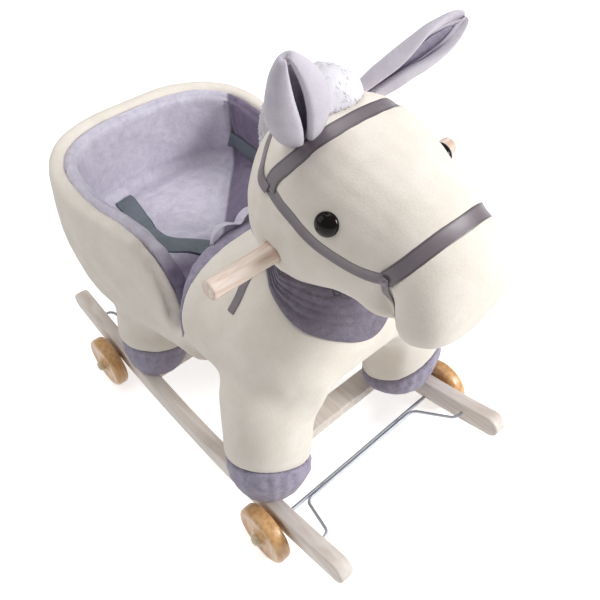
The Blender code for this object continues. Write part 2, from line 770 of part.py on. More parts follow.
def make_body():
    split = box("body_split", (-0.2, SPLIT_Y, 0.05), (0.2, 0.2, 0.5))
    body = loft("body", body_rings(), PLUSH)
    pockets = [bpy.data.objects[n] for n in ("board_pocket", "neck_pocket")]
    post_pockets = []
    for end, _ in ENDS:
        for side, s in SIDES:
            post_pockets.append(post(f"post_pocket_{end}_{side}", end, s, grow=GAP))
    cut(body, split, *pockets, *post_pockets[:2])
    rump = loft("rump", rump_rings(), PLUSH, levels=0)
    cut(rump, pockets[0], bpy.data.objects["panel_pocket"], *post_pockets[2:])
    return post_pockets


def seam_height(end, s, x, y):
    """The slanting seam between leg and hoof, higher on the outer and front sides."""
    middle_x, middle_y, _, outward, forward = HOOVES[end]
    level = deck(middle_y) + HOOF_HEIGHT[end]
    return level + outward * (s * x - middle_x) - forward * (y - middle_y)


def leg_rings(end, s):
    """Sections up a leg, from its slanting seam to inside the body."""
    middle_x, middle_y, radius, _, _ = HOOVES[end]
    top = LEG_TOP_Z if end == "front" else RUMP_TOP - 0.01
    rings = []
    for rise, size, lean in ((0.0, 0.97, 0.0), (0.06, 1.0, 0.0), (0.25, 1.0, 0.08), (0.5, 1.05, 0.32),
                             (0.75, 1.10, 0.65), (1.0, 1.05, 1.0)):
        shift_x = -LEG_LEAN_X * lean
        shift_y = (0.022 if end == "front" else 0.010) * lean
        ring = []
        for i in range(LEG_SIDES):
            turn = 2 * math.pi * i / LEG_SIDES
            x = middle_x + radius * size * math.cos(turn)
            y = middle_y + radius * size * math.sin(turn)
            foot = seam_height(end, 1, x, y) + GAP
            ring.append((s * (x + shift_x), y + shift_y, blend(foot, top, rise)))
        rings.append(ring)
    return rings


def hoof_rings(end, s):
    """Sections up a hoof, whose sole follows the rocker's slope."""
    middle_x, middle_y, radius, _, _ = HOOVES[end]
    rings = []
    for level in HOOF_LEVELS:
        size = radius * (0.97 if level == 1.0 else blend(HOOF_FOOT[end], 1.0, math.sqrt(level / 0.6)))
        ring = []
        for i in range(LEG_SIDES):
            turn = 2 * math.pi * i / LEG_SIDES
            x = middle_x + size * math.cos(turn)
            y = middle_y + size * math.sin(turn)
            foot = deck(y) + GAP + 0.0004
            ring.append((s * x, y, blend(foot, seam_height(end, 1, x, y), level)))
        rings.append(ring)
    return rings


def make_legs(post_pockets):
    body_skin = loft("body_skin", body_rings(GAP), None)
    rump_skin = loft("rump_skin", rump_rings(GAP), None, levels=0)
    k = 0
    for end, _ in ENDS:
        for side, s in SIDES:
            label = f"{end}_{side}"
            skin = body_skin if end == "front" else rump_skin
            leg = loft("leg_" + label, leg_rings(end, s), PLUSH, levels=0)
            cut(leg, skin, post_pockets[k])
            hoof = loft("hoof_" + label, hoof_rings(end, s), DARK_VELVET, levels=0)
            cut(hoof, post_pockets[k])
            k += 1
    return body_skin


# Head


def head_point(u, v, x=0.0):
    """A point from the head's own directions: u towards the nose, v up, x to its left."""
    ahead = Vector((0, -math.cos(HEAD_PITCH), -math.sin(HEAD_PITCH)))
    up = Vector((0, -math.sin(HEAD_PITCH), math.cos(HEAD_PITCH)))
    return Vector((x, HEAD_Y, HEAD_Z)) + ahead * u + up * v


def head_rings(grow=0.0):
    """Sections from the back of the skull to the nose."""
    sections = (  # along, half width, reach up, reach down
        (-0.083, 0.040, 0.048, 0.052),
        (-0.061, 0.072, 0.077, 0.082),
        (-0.022, 0.095, 0.097, 0.094),
        (0.025, 0.093, 0.095, 0.081),
        (0.066, 0.076, 0.089, 0.058),
        (0.102, 0.066, 0.077, 0.048),
        (0.132, 0.067, 0.064, 0.050),
        (0.154, 0.061, 0.044, 0.045),
        (0.166, 0.042, 0.020, 0.034),
    )
    rings = []
    for u, wide, above, below in sections:
        ring = []
        for x, v in superellipse(16, wide + grow, 1.0, 2.2):
            stretched = u + grow * max(-1.0, min(1.0, u / 0.06))
            ring.append(head_point(stretched, v * ((above if v > 0 else below) + grow), x))
        rings.append(ring)
    return rings


def make_head(body_skin):
    tips = (head_point(-0.089, 0.0), head_point(0.168, -0.008))
    head = loft("head", head_rings(), PLUSH, tips=tips)
    wide_tips = (head_point(-0.089 - 2 * GAP, 0.0), head_point(0.168 + 2 * GAP, -0.008))
    skin = loft("head_skin", head_rings(2 * GAP), None, tips=wide_tips)
    bpy.context.view_layer.update()
    surface = BVHTree.FromObject(head, bpy.context.evaluated_depsgraph_get())
    cut(head, body_skin, bpy.data.objects["neck_pocket"], bpy.data.objects["handle_tunnel"])
    return skin, surface


# Ears, mane and eyes


def ear_sections(root, tip, inner, half_width, lift=0.0, share=1.0, thickness=EAR_THICKNESS, start=0.0):
    """Leaf-shaped rings from an ear's root to its tip, cupped towards its open side."""
    root, tip, inner = Vector(root), Vector(tip), Vector(inner).normalized()
    along = (tip - root).normalized()
    across = along.cross(inner).normalized()
    facing = across.cross(along)
    rings = []
    for s, wide, cup in ((0.0, 0.48, 0.3), (0.16, 0.68, 0.7), (0.36, 0.96, 1.0), (0.56, 1.0, 0.8),
                         (0.76, 0.74, 0.55), (0.92, 0.36, 0.2)):
        centre = root.lerp(tip, start + s * (1 - start) * (1.0 if share == 1.0 else 0.94))
        front, rear = [], []
        for t in spread(-1, 1, 7):
            reach = centre + across * (t * wide * half_width * share)
            hollow = EAR_CUP * cup * (abs(t * share) ** 1.5) * wide
            body = thickness * (1 - 0.55 * t * t * (share == 1.0)) / 2
            front.append(reach + facing * (hollow + lift + body))
            rear.append(reach + facing * (hollow + lift - body))
        rings.append(front + rear[::-1])
    return rings


EARS = (
    ("left", (0.040, -0.109, 0.505), (0.138, -0.150, 0.565), (0.05, -0.95, 0.25)),
    ("right", (-0.040, -0.128, 0.512), (-0.081, -0.163, 0.606), (-0.50, -0.80, 0.20)),
)


def make_ears(head_skin):
    for side, root, tip, inner in EARS:
        wide = EAR_HALF_WIDTH[side]
        ear = loft("ear_" + side, ear_sections(root, tip, inner, wide), PLUSH, levels=0)
        cut(ear, head_skin)
        lift = (EAR_THICKNESS + EAR_LINING_THICKNESS) / 2 + EAR_LINING_CLEARANCE
        lining = ear_sections(root, tip, inner, wide, lift, 0.82, EAR_LINING_THICKNESS, 0.22)
        loft("ear_lining_" + side, lining, VELVET, levels=0)


def make_mane(head_skin):
    path = (  # y, z, half width, half depth
        (-0.145, 0.524, 0.020, 0.010),
        (-0.134, 0.532, 0.031, 0.022),
        (-0.112, 0.533, 0.034, 0.025),
        (-0.088, 0.518, 0.035, 0.024),
        (-0.068, 0.494, 0.033, 0.022),
        (-0.057, 0.462, 0.028, 0.019),
        (-0.054, 0.432, 0.020, 0.014),
    )
    rings = []
    for i, (y, z, wide, deep) in enumerate(path):
        before, after = path[max(0, i - 1)], path[min(len(path) - 1, i + 1)]
        along = Vector((0, after[0] - before[0], after[1] - before[1])).normalized()
        outward = Vector((0, -along.z, along.y))
        if outward.z < 0 and i < 3:
            outward = -outward
        ring = []
        for k in range(12):
            turn = 2 * math.pi * k / 12
            ring.append(Vector((wide * math.cos(turn), y, z)) + outward * (deep * math.sin(turn)))
        rings.append(ring)
    mane = loft("mane", rings, FUR, levels=1)
    cut(mane, head_skin)


def surface_of(*names):
    """What pieces of cloth lie on: the finished skins of the pieces named."""
    bpy.context.view_layer.update()
    found = bpy.context.evaluated_depsgraph_get()
    bm = bmesh.new()
    for name in names:
        piece = bpy.data.objects[name].evaluated_get(found)
        mesh = bpy.data.meshes.new_from_object(piece)
        mesh.transform(piece.matrix_world)
        bm.from_mesh(mesh)
    tree = BVHTree.FromBMesh(bm)
    bm.free()
    return tree


def make_eyes(surface, head_skin):
    for side, s in SIDES:
        spot, normal, _, _ = surface.find_nearest(Vector((s * 0.0702, -0.1936, 0.4734)))
        bm = bmesh.new()
        bmesh.ops.create_uvsphere(bm, u_segments=16, v_segments=8, radius=EYE_RADIUS)
        bmesh.ops.scale(bm, vec=(1, 1, 0.62), verts=bm.verts)
        turn = normal.to_track_quat("Z", "Y").to_matrix().to_4x4()
        bmesh.ops.transform(bm, matrix=turn, verts=bm.verts)
        eye = finish(bm, "eye_" + side, PLASTIC, spot)
        cut(eye, head_skin)


# Ribbons, belts and scarf


def along_path(points, step):
    """Points at even steps along a line of straight runs."""
    points = [Vector(p) for p in points]
    lengths = [0.0]
    for a, b in zip(points, points[1:]):
        lengths.append(lengths[-1] + (b - a).length)
    count = max(3, round(lengths[-1] / step) + 1)
    found = []
    k = 0
    for reach in spread(0, lengths[-1], count):
        while k < len(points) - 2 and lengths[k + 1] < reach:
            k += 1
        share = (reach - lengths[k]) / (lengths[k + 1] - lengths[k])
        found.append(points[k].lerp(points[k + 1], share))
    return found


def strip(name, rows, thickness, kind):
    """A closed strip through rows of (point, outward direction) across it."""
    rings = []
    for row in rows:
        under = [p for p, n in row]
        over = [p + n * thickness for p, n in row]
        rings.append(under + over[::-1])
    return loft(name, rings, kind, levels=0)


def ribbon(name, path, width, surface, layers=(0, 0), kind=RIBBON, step=0.009, rises=None):
    """A ribbon that lies on a surface. Layers count the ribbons already under its two ends."""
    thickness = BELT_THICKNESS if kind is WEBBING else RIBBON_THICKNESS
    points = along_path(path, step)
    grounds = [surface.find_nearest(p)[:2] for p in points]
    rows = []
    for i, (spot, normal) in enumerate(grounds):
        before = grounds[max(0, i - 1)][0]
        after = grounds[min(len(grounds) - 1, i + 1)][0]
        side = normal.cross(after - before).normalized()
        first = ease((0.032 - i * step) / 0.018)
        last = ease((0.032 - (len(grounds) - 1 - i) * step) / 0.018)
        lift = RIBBON_LIFT + LAYER * (layers[0] * first + layers[1] * last)
        if rises:
            lift += rises(i / (len(grounds) - 1))
        row = []
        for t in (-0.5, 0.0, 0.5):
            near, facing, _, _ = surface.find_nearest(spot + side * width * t)
            row.append((near + facing * lift, facing))
        rows.append(row)
    return strip(name, rows, thickness, kind)


def mirrored(points):
    return [(-x, y, z) for x, y, z in reversed(points)]


JUNCTION = (-0.0814, -0.1330, 0.4803)
RIVET = (-0.0619, -0.2501, 0.4438)
CHEEK_PATH = ((-0.0800, -0.1270, 0.4840), (-0.0840, -0.1631, 0.4694), (-0.0814, -0.1842, 0.4572),
              (-0.0748, -0.2070, 0.4471), (-0.0678, -0.2289, 0.4417), (-0.0600, -0.2570, 0.4445))
BROW_PATH = (JUNCTION, (-0.0763, -0.1345, 0.4920), (-0.0680, -0.1425, 0.5030),
             (-0.0585, -0.1480, 0.5115), (-0.0488, -0.1502, 0.5170), (-0.0317, -0.1555, 0.5239),
             (-0.0118, -0.1582, 0.5276))
CROWN_PATH = (JUNCTION, (-0.0762, -0.1191, 0.4828), (-0.0674, -0.1109, 0.4927),
              (-0.0560, -0.1010, 0.5030), (-0.0440, -0.0920, 0.5120))
NOSE_PATH = (RIVET, (-0.0534, -0.2602, 0.4582), (-0.0395, -0.2677, 0.4707),
             (-0.0219, -0.2716, 0.4778), (0.0, -0.2738, 0.4801))
CHIN_PATH = (RIVET, (-0.0637, -0.2532, 0.4337), (-0.0646, -0.2559, 0.4248), (-0.0580, -0.2560, 0.4020),
             (-0.0300, -0.2560, 0.3870), (0.0, -0.2560, 0.3830))


def make_bridle(surface):
    for side, s in SIDES:
        turn = (lambda path: path) if s < 0 else mirrored
        ribbon("cheek_strap_" + side, turn(list(CHEEK_PATH)), CHEEK_WIDTH, surface)
        spot, normal, _, _ = surface.find_nearest(Vector((-s * RIVET[0], RIVET[1], RIVET[2])))
        profile = [(0.0, RIVET_HEIGHT), (RIVET_RADIUS * 0.6, RIVET_HEIGHT * 0.85),
                   (RIVET_RADIUS, RIVET_HEIGHT * 0.3), (RIVET_RADIUS, 0.0), (0.0, 0.0)]
        at = spot + normal * (RIBBON_LIFT + 3 * LAYER + GAP)
        turned("rivet_" + side, profile, STEEL, at, normal, 12)
    for name, path, width, layers in (
        ("browband", BROW_PATH, BROWBAND_WIDTH, 1),
        ("noseband", NOSE_PATH, NOSEBAND_WIDTH, 1),
        ("chin_strap", CHIN_PATH, CHIN_WIDTH, 2),
    ):
        whole = list(path) + mirrored([p for p in path if p[0] < 0])
        ribbon(name, whole, width, surface, (layers, layers))


CROWN_BACK = ((-0.030, -0.083, 0.5180), (0.0, -0.079, 0.5230))


def make_crown(surface):
    """The strap behind the ears runs over the mane's root, so it is laid on head and mane."""
    path = list(CROWN_PATH) + list(CROWN_BACK)
    whole = path + mirrored([p for p in path if p[0] < 0])
    ribbon("crown_strap", whole, CROWN_WIDTH, surface, (2, 2))


REIN_PATH = ((-0.0740, -0.0860, 0.4150), (-0.0770, -0.0880, 0.3880), (-0.0760, -0.0870, 0.3620),
             (-0.0760, -0.0830, 0.3470), (-0.0812, -0.0835, 0.3368), (-0.0930, -0.0868, 0.3254),
             (-0.1053, -0.0870, 0.3119))


def make_reins(surface):
    for side, s in SIDES:
        turn = (lambda path: path) if s < 0 else mirrored
        ribbon("rein_" + side, turn(list(REIN_PATH)), REIN_WIDTH, surface, kind=RIBBON)


SCARF_LOW = ((-0.050, -0.082, 0.3560), (-0.0630, -0.0990, 0.3481), (-0.0721, -0.1146, 0.3386),
             (-0.0743, -0.1361, 0.3243), (-0.0698, -0.1533, 0.3122), (-0.0565, -0.1686, 0.3021),
             (-0.0335, -0.1819, 0.2889), (-0.0095, -0.1880, 0.2780))
SCARF_HIGH = ((-0.046, -0.086, 0.3600), (-0.0540, -0.1030, 0.3560), (-0.0600, -0.1150, 0.3500),
              (-0.0560, -0.1280, 0.3460), (-0.0480, -0.1400, 0.3400), (-0.0380, -0.1520, 0.3340),
              (-0.0220, -0.1620, 0.3260), (-0.007, -0.1660, 0.3220))


def make_scarf(surface, head_skin):
    low = list(SCARF_LOW) + mirrored(SCARF_LOW)
    high = list(SCARF_HIGH) + mirrored(SCARF_HIGH)
    rows = []
    for bottom, top in zip(low, high):
        row = []
        for share in spread(0, 1, 6):
            spot, normal, _, _ = surface.find_nearest(Vector(bottom).lerp(Vector(top), share))
            fold = 0.0045 * math.exp(-((share - 0.62) / 0.16) ** 2)
            hem = 0.0012 * math.exp(-((share - 0.05) / 0.12) ** 2)
            row.append((spot + normal * (0.0022 + fold + hem), normal))
        rows.append(row)
    scarf = strip("scarf", rows, SCARF_THICKNESS, DARK_VELVET)
    cut(scarf, head_skin)


BELT_RIGHT_PATH = ((-0.070, 0.226, 0.266), (-0.078, 0.190, 0.268), (-0.084, 0.150, 0.268),
                   (-0.088, 0.112, 0.268), (-0.074, 0.084, 0.268), (-0.052, 0.066, 0.268),
                   (-0.036, 0.052, 0.268))
BELT_LEFT_PATH = ((0.111, 0.202, 0.296), (0.117, 0.182, 0.293), (0.118, 0.160, 0.289),
                  (0.117, 0.138, 0.285), (0.112, 0.112, 0.275), (0.096, 0.088, 0.268),
                  (0.070, 0.070, 0.268), (0.038, 0.054, 0.268))


def make_belts():
    seat = surface_of("seat_cushion", "seat_lining")
    for side, path in (("right", BELT_RIGHT_PATH), ("left", BELT_LEFT_PATH)):
        ribbon("belt_" + side, path, BELT_WIDTH, seat, kind=WEBBING, step=0.014,
               rises=lambda share, side=side: BELT_CLEARANCE[side])
    pommel = surface_of("pommel_pad")
    path = [(x, 0.012, 0.330 - 0.012 * (x / 0.06) ** 4) for x in spread(-0.060, 0.060, 9)]

    def rises(share):
        return 0.0010 + KEEPER_RISE * abs(math.sin(math.pi * KEEPER_LOOPS * share))

    ribbon("belt_keeper", path, KEEPER_WIDTH, pommel, kind=RIBBON, step=0.005, rises=rises)


make_crossbars()
make_rockers()
make_wheels()
make_posts()
make_boards()
pocket_list = make_body()
skin_of_body = make_legs(pocket_list)
make_seat()
skin_of_head, head_surface = make_head(skin_of_body)
make_ears(skin_of_head)
make_mane(skin_of_head)
make_eyes(head_surface, skin_of_head)
make_bridle(head_surface)
make_crown(surface_of("head", "mane"))
make_reins(surface_of("head", "body"))
make_scarf(surface_of("body"), skin_of_head)
make_belts()
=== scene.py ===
"""A plush rocking toy with flip-up wheels: its soft parts, finishes, studio and camera.

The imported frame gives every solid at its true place, in metres. It stands on its wheels and faces
-Y, so its own left side is +X. Each operator dresses one group of pieces.
"""

import json
import math
import random

import bmesh
import bpy
import numpy as np
from bpy.props import FloatProperty, FloatVectorProperty, IntProperty, PointerProperty
from mathutils import Matrix, Vector, noise
from mathutils.bvhtree import BVHTree
from mathutils.kdtree import KDTree


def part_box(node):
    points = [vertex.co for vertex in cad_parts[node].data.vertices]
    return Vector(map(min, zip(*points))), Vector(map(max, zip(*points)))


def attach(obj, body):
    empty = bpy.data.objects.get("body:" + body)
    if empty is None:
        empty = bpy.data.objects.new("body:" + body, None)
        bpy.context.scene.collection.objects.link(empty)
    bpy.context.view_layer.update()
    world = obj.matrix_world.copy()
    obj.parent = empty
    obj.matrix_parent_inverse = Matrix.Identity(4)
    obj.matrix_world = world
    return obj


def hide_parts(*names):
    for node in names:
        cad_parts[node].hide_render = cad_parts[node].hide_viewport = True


bl_info = {
    "name": "Plush rocking toy",
    "version": (1, 0, 0),
    "blender": (4, 5, 0),
    "location": "View3D > Sidebar > Rocking Toy",
    "description": "Dresses a plush rocking toy with flip-up wheels, piece by piece",
    "category": "Add Mesh",
}

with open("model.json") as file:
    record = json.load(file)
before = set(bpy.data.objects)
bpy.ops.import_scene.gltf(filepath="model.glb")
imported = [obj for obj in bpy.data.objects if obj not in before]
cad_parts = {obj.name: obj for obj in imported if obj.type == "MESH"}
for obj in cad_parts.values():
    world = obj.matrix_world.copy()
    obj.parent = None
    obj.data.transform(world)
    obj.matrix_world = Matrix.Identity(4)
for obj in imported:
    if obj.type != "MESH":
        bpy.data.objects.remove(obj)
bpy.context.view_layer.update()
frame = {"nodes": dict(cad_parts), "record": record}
MM = 0.001
SIDES = (("left", 1), ("right", -1))
ENDS = (("front", -1), ("rear", 1))
LIMBS = [f"{end}_{side}" for end in ("front", "rear") for side in ("left", "right")]


def linear(code):
    """An sRGB hex colour as the linear values that shaders take."""
    channels = [int(code[i:i + 2], 16) / 255 for i in (0, 2, 4)]
    return tuple(c / 12.92 if c <= 0.04045 else ((c + 0.055) / 1.055) ** 2.4 for c in channels)


def colour(title, code, description):
    return FloatVectorProperty(name=title, description=description, subtype="COLOR",
                               min=0, max=1, default=linear(code))


def length(title, millimetres, description):
    return FloatProperty(name=title, description=description, subtype="DISTANCE", unit="LENGTH",
                         default=millimetres * MM, min=0)


class ToyColours(bpy.types.PropertyGroup):
    """The colours of every finish."""

    plush: colour("Plush", "f3ece3", "Tips of the cream pile")
    plush_root: colour("Plush root", "dcd2c2", "Cream pile seen between its tips")
    velvet: colour("Seat velvet", "dad6e3", "Lilac velvet brushed towards the light")
    velvet_crushed: colour("Crushed velvet", "bcb5c6", "Lilac velvet brushed away from the light")
    hoof: colour("Hoof velvet", "b0aabd", "Grey-lilac velvet of the hooves and scarf")
    hoof_crushed: colour("Hoof crushed", "867f94", "The same velvet brushed away")
    ear: colour("Ear plush", "d6d1db", "Tips of the ears' whiter pile")
    ear_root: colour("Ear plush root", "b9b2bf", "The ears' pile between its tips")
    fleece: colour("Fleece", "efedf2", "Tips of the mane's fleece")
    fleece_root: colour("Fleece root", "d6d2dd", "The mane's fleece between its locks")
    ribbon: colour("Ribbon", "7c7278", "Satin ribbon of the bridle")
    ribbon_edge: colour("Ribbon edge", "5c5358", "The ribbon's woven edge")
    webbing: colour("Webbing", "7a838b", "Seat belt webbing")
    beech: colour("Beech", "ebe3dc", "Pale beech of the rockers and the dowel")
    beech_grain: colour("Beech grain", "d8cbc1", "Darker grain of the pale beech")
    varnish: colour("Varnished beech", "deb078", "Honey varnish on the wheels")
    varnish_grain: colour("Varnished grain", "c48f58", "Grain under the wheels' varnish")
    zinc: colour("Zinc", "c3c8d0", "Zinc plating of the wire and axles")
    eye: colour("Eye", "120c0a", "Eyes, a brown that is nearly black")
    cap: colour("Axle cap", "d9c7a6", "Beige axle caps")


class ToySizes(bpy.types.PropertyGroup):
    """Sizes of the soft surfaces and trim."""

    grid: length("Cloth grid", 4.0, "Spacing of the points on large stuffed pieces")
    fine_grid: length("Fine grid", 3.0, "Spacing of the points on small stuffed pieces")
    lumps: length("Lumps", 0.9, "How far stuffing pushes the cloth in and out")
    strap_press: length("Strap press", 1.3, "How deep the bridle presses into the plush")
    ribbon_thickness: length("Ribbon thickness", 0.9, "Thickness of the satin ribbon")
    belt_thickness: length("Belt thickness", 1.5, "Thickness of the seat belt webbing")
    rocker_edge: length("Rocker edge", 3.0, "Radius sanded on the rockers' edges")
    lock_length: length("Lock length", 5.0, "Length of a lock of the mane")
    lock_count: IntProperty(name="Locks", description="Number of locks on the mane", default=8000, min=0)


def colours():
    return bpy.context.scene.toy_colours


def sizes():
    return bpy.context.scene.toy_sizes


# Small tools for shaders and meshes


FINISHES = {}  # materials by the name of their finish
PIECES = {}  # pieces that later ones are laid on


def add_node(tree, kind, inputs=(), out=0):
    """Adds a shader node and returns one of its outputs.

    Inputs holds its properties, then its inputs: a socket is joined to the input, a value is set.
    """
    node = tree.nodes.new("ShaderNode" + kind)
    for key, value in dict(inputs).items():
        if isinstance(value, bpy.types.NodeSocket):
            tree.links.new(value, node.inputs[key])
        elif isinstance(key, int) or key in node.inputs:
            node.inputs[key].default_value = value
        else:
            setattr(node, key, value)
    return node.outputs[out] if node.outputs else None


def new_finish(name):
    """An empty material of that name, and its node tree."""
    made = bpy.data.materials.new(name)
    made.use_nodes = True
    made.node_tree.nodes.clear()
    return made, made.node_tree


def surface(tree, inputs):
    """Ends a material's tree in its shader."""
    add_node(tree, "OutputMaterial", {"Surface": add_node(tree, "BsdfPrincipled", inputs)})


def object_spots(tree):
    return add_node(tree, "TexCoord", out="Object")


def noise_at(tree, spots, scale, detail, distortion=0.0, roughness=0.5):
    return add_node(tree, "TexNoise", {"Scale": scale, "Detail": detail, "Distortion": distortion,
                                       "Roughness": roughness, "Vector": spots})


def stretched(tree, spots, scale):
    return add_node(tree, "Mapping", {"Scale": scale, "Vector": spots})


def ramp(tree, value, first=0.0, last=1.0, low=0.0, high=1.0):
    """Turns first to last into low to high, and holds it there outside."""
    return add_node(tree, "MapRange", {"From Min": first, "From Max": last, "To Min": low, "To Max": high,
                                       "Value": value})


def maths(tree, operation, *values):
    return add_node(tree, "Math", {"operation": operation, **dict(enumerate(values))})


def scaled(tree, value, factor, added):
    return maths(tree, "MULTIPLY_ADD", value, factor, added)


def tone(tree, share, first, last, how="MIX"):
    """One colour or socket turned into a colour by a share."""
    first = first if isinstance(first, bpy.types.NodeSocket) else (*first, 1)
    return add_node(tree, "Mix", {"data_type": "RGBA", "blend_type": how, 0: share, 6: first,
                                  7: (*last, 1)}, 2)


def bumps(tree, height, strength, distance, under=()):
    """Relief as a normal. Under holds the normal of a finer relief, if there is one."""
    return add_node(tree, "Bump", {"Strength": strength, "Distance": distance, "Height": height,
                                   **dict(under)})


def blend(a, b, share):
    return a + (b - a) * share


def spread(first, last, count):
    return [first + (last - first) * i / (count - 1) for i in range(count)]


def ease(share):
    share = min(1.0, max(0.0, share))
    return share * share * (3 - 2 * share)


def above(value, start, soft):
    """Nothing up to start, and all from start + soft up."""
    return ease((value - start) / soft)


def below(value, start, soft):
    """Nothing from start up, and all from start - soft down."""
    return ease((start - value) / soft)


def bell(distance, reach):
    return math.exp(-((distance / reach) ** 2))


def add_object(name, data):
    made = bpy.data.objects.new(name, data)
    bpy.context.scene.collection.objects.link(made)
    return made


def new_piece(name, data, finish, body="frame", replaces=()):
    """Puts a mesh or curve in the scene as a named piece that rides on a body.

    Its one material is the finish of that name.
    """
    piece = add_object(name, data)
    data.materials.clear()
    data.materials.append(FINISHES[finish])
    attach(piece, body)
    if replaces:
        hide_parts(*replaces)
    return piece


def grid_mesh(name, rows, uvs=None):
    """A sheet of quads through rows of points. UVs are in metres, across and along."""
    mesh = bpy.data.meshes.new(name)
    wide = len(rows[0])
    faces = []
    for i in range(len(rows) - 1):
        for j in range(i * wide, i * wide + wide - 1):
            faces.append((j, j + 1, j + 1 + wide, j + wide))
    mesh.from_pydata([tuple(p) for row in rows for p in row], [], faces)
    if uvs:
        layer = mesh.uv_layers.new(name="weave")
        for loop in mesh.loops:
            layer.data[loop.index].uv = uvs[loop.vertex_index // wide][loop.vertex_index % wide]
    mesh.shade_smooth()
    return mesh


def mesh_of(bm, name):
    """Ends a bmesh as a mesh of that name."""
    mesh = bpy.data.meshes.new(name)
    bm.to_mesh(mesh)
    bm.free()
    return mesh


def keep_edges(mesh, degrees):
    """Shades a mesh smooth but for its edges that are sharper than this."""
    mesh.shade_smooth()
    mesh.set_sharp_from_angle(angle=math.radians(degrees))


def modify(piece, kind, **settings):
    made = piece.modifiers.new(kind.lower(), kind)
    for key, value in settings.items():
        setattr(made, key, value)
    return made


def settle(piece):
    """Turns a piece's modifiers into its mesh."""
    bpy.context.view_layer.update()
    found = piece.evaluated_get(bpy.context.evaluated_depsgraph_get())
    mesh = bpy.data.meshes.new_from_object(found)
    old = piece.data
    piece.modifiers.clear()
    piece.data = mesh
    bpy.data.meshes.remove(old)


def thicken(piece, thickness, levels=1, offset=1.0):
    modify(piece, "SOLIDIFY", thickness=thickness, offset=offset)
    modify(piece, "SUBSURF", levels=levels, render_levels=levels)
    settle(piece)


def points_of(mesh):
    spots = np.empty(len(mesh.vertices) * 3)
    mesh.vertices.foreach_get("co", spots)
    return spots.reshape(-1, 3)


def relax(piece, rounds, spring=0.53, where=None):
    """Evens out facets. The push back after each pull keeps the stuffing's volume."""
    mesh = piece.data
    spots = points_of(mesh)
    amount = np.array([where(vert.co) for vert in mesh.vertices]) if where else 1.0
    pairs = np.empty(len(mesh.edges) * 2, dtype=np.int32)
    mesh.edges.foreach_get("vertices", pairs)
    first, second = pairs.reshape(-1, 2).T
    count = len(spots)
    near = np.maximum(np.bincount(first, minlength=count) + np.bincount(second, minlength=count), 1)
    for _ in range(rounds):
        for share in (0.5, -spring):
            for axis in range(3):
                line = spots[:, axis]
                total = np.bincount(first, weights=line[second], minlength=count)
                total += np.bincount(second, weights=line[first], minlength=count)
                spots[:, axis] = line + amount * share * (total / near - line)
    mesh.vertices.foreach_set("co", spots.ravel())
    mesh.update()


def swell(piece, height):
    """Moves each point out along its normal by height(point, normal)."""
    mesh = piece.data
    moved = []
    for vert in mesh.vertices:
        moved.extend(vert.co + vert.normal * height(vert.co, vert.normal))
    mesh.vertices.foreach_set("co", moved)
    mesh.update()


def lumps(height, size, seed):
    """Uneven stuffing: broad soft humps with smaller ones on them."""
    shift = Vector((seed, seed * 0.7, -seed))

    def rise(spot, _normal):
        broad = noise.noise(spot / size + shift)
        return height * (broad + 0.35 * noise.noise(spot * 3.1 / size - shift))

    return rise


def remesh(piece, grid):
    modify(piece, "REMESH", mode="VOXEL", voxel_size=grid, use_smooth_shade=True)
    settle(piece)


def sewn_together(name, meshes, grid, fillet):
    """One mesh from several that touch. It swells until they meet, then shrinks back, which
    leaves a rounded valley at each seam."""
    bm = bmesh.new()
    for mesh in meshes:
        bm.from_mesh(mesh)
    bmesh.ops.remove_doubles(bm, verts=bm.verts, dist=0.00005)
    piece = add_object(name, mesh_of(bm, name))
    remesh(piece, grid)
    swell(piece, lambda spot, normal: fillet)
    remesh(piece, grid)
    relax(piece, 12)
    swell(piece, lambda spot, normal: -fillet)
    mesh = piece.data
    bpy.data.objects.remove(piece)
    return mesh


def stuffed(node, finish, grid, rounds, lump):
    """A plush body in its solid's place: remeshed to an even cloth grid, relaxed and lumpy."""
    name = node + "_plush" if finish == "cream_plush" else node + "_velvet"
    piece = new_piece(name, frame["nodes"][node].data.copy(), finish, replaces=(node,))
    remesh(piece, grid)
    relax(piece, rounds)
    swell(piece, lumps(sizes().lumps * lump, 0.055, len(node) * 0.31))
    piece.data.shade_smooth()
    return piece


def ground_of(*pieces):
    """What ribbons and cloth are laid on."""
    bpy.context.view_layer.update()
    bm = bmesh.new()
    for piece in pieces:
        bm.from_mesh(piece.data)
    tree = BVHTree.FromBMesh(bm)
    bm.free()
    return tree


def curve_through(points, step):
    """Evenly spaced points on a smooth curve through the points given."""
    points = [Vector(p) for p in points]
    padded = [2 * points[0] - points[1]] + points + [2 * points[-1] - points[-2]]
    dense = []
    for p0, p1, p2, p3 in zip(padded, padded[1:], padded[2:], padded[3:]):
        for share in spread(0, 1, 13)[:-1]:
            a = -0.5 * p0 + 1.5 * p1 - 1.5 * p2 + 0.5 * p3
            b = p0 - 2.5 * p1 + 2 * p2 - 0.5 * p3
            dense.append(((a * share + b) * share + (p2 - p0) * 0.5) * share + p1)
    dense.append(points[-1])
    reach = [0.0]
    for a, b in zip(dense, dense[1:]):
        reach.append(reach[-1] + (b - a).length)
    count = max(4, round(reach[-1] / step) + 1)
    found, k = [], 0
    for target in spread(0, reach[-1], count):
        while k < len(dense) - 2 and reach[k + 1] < target:
            k += 1
        share = (target - reach[k]) / max(1e-9, reach[k + 1] - reach[k])
        found.append(dense[k].lerp(dense[k + 1], share))
    return found


def mirrored(points):
    return [(-x, y, z) for x, y, z in reversed(points)]


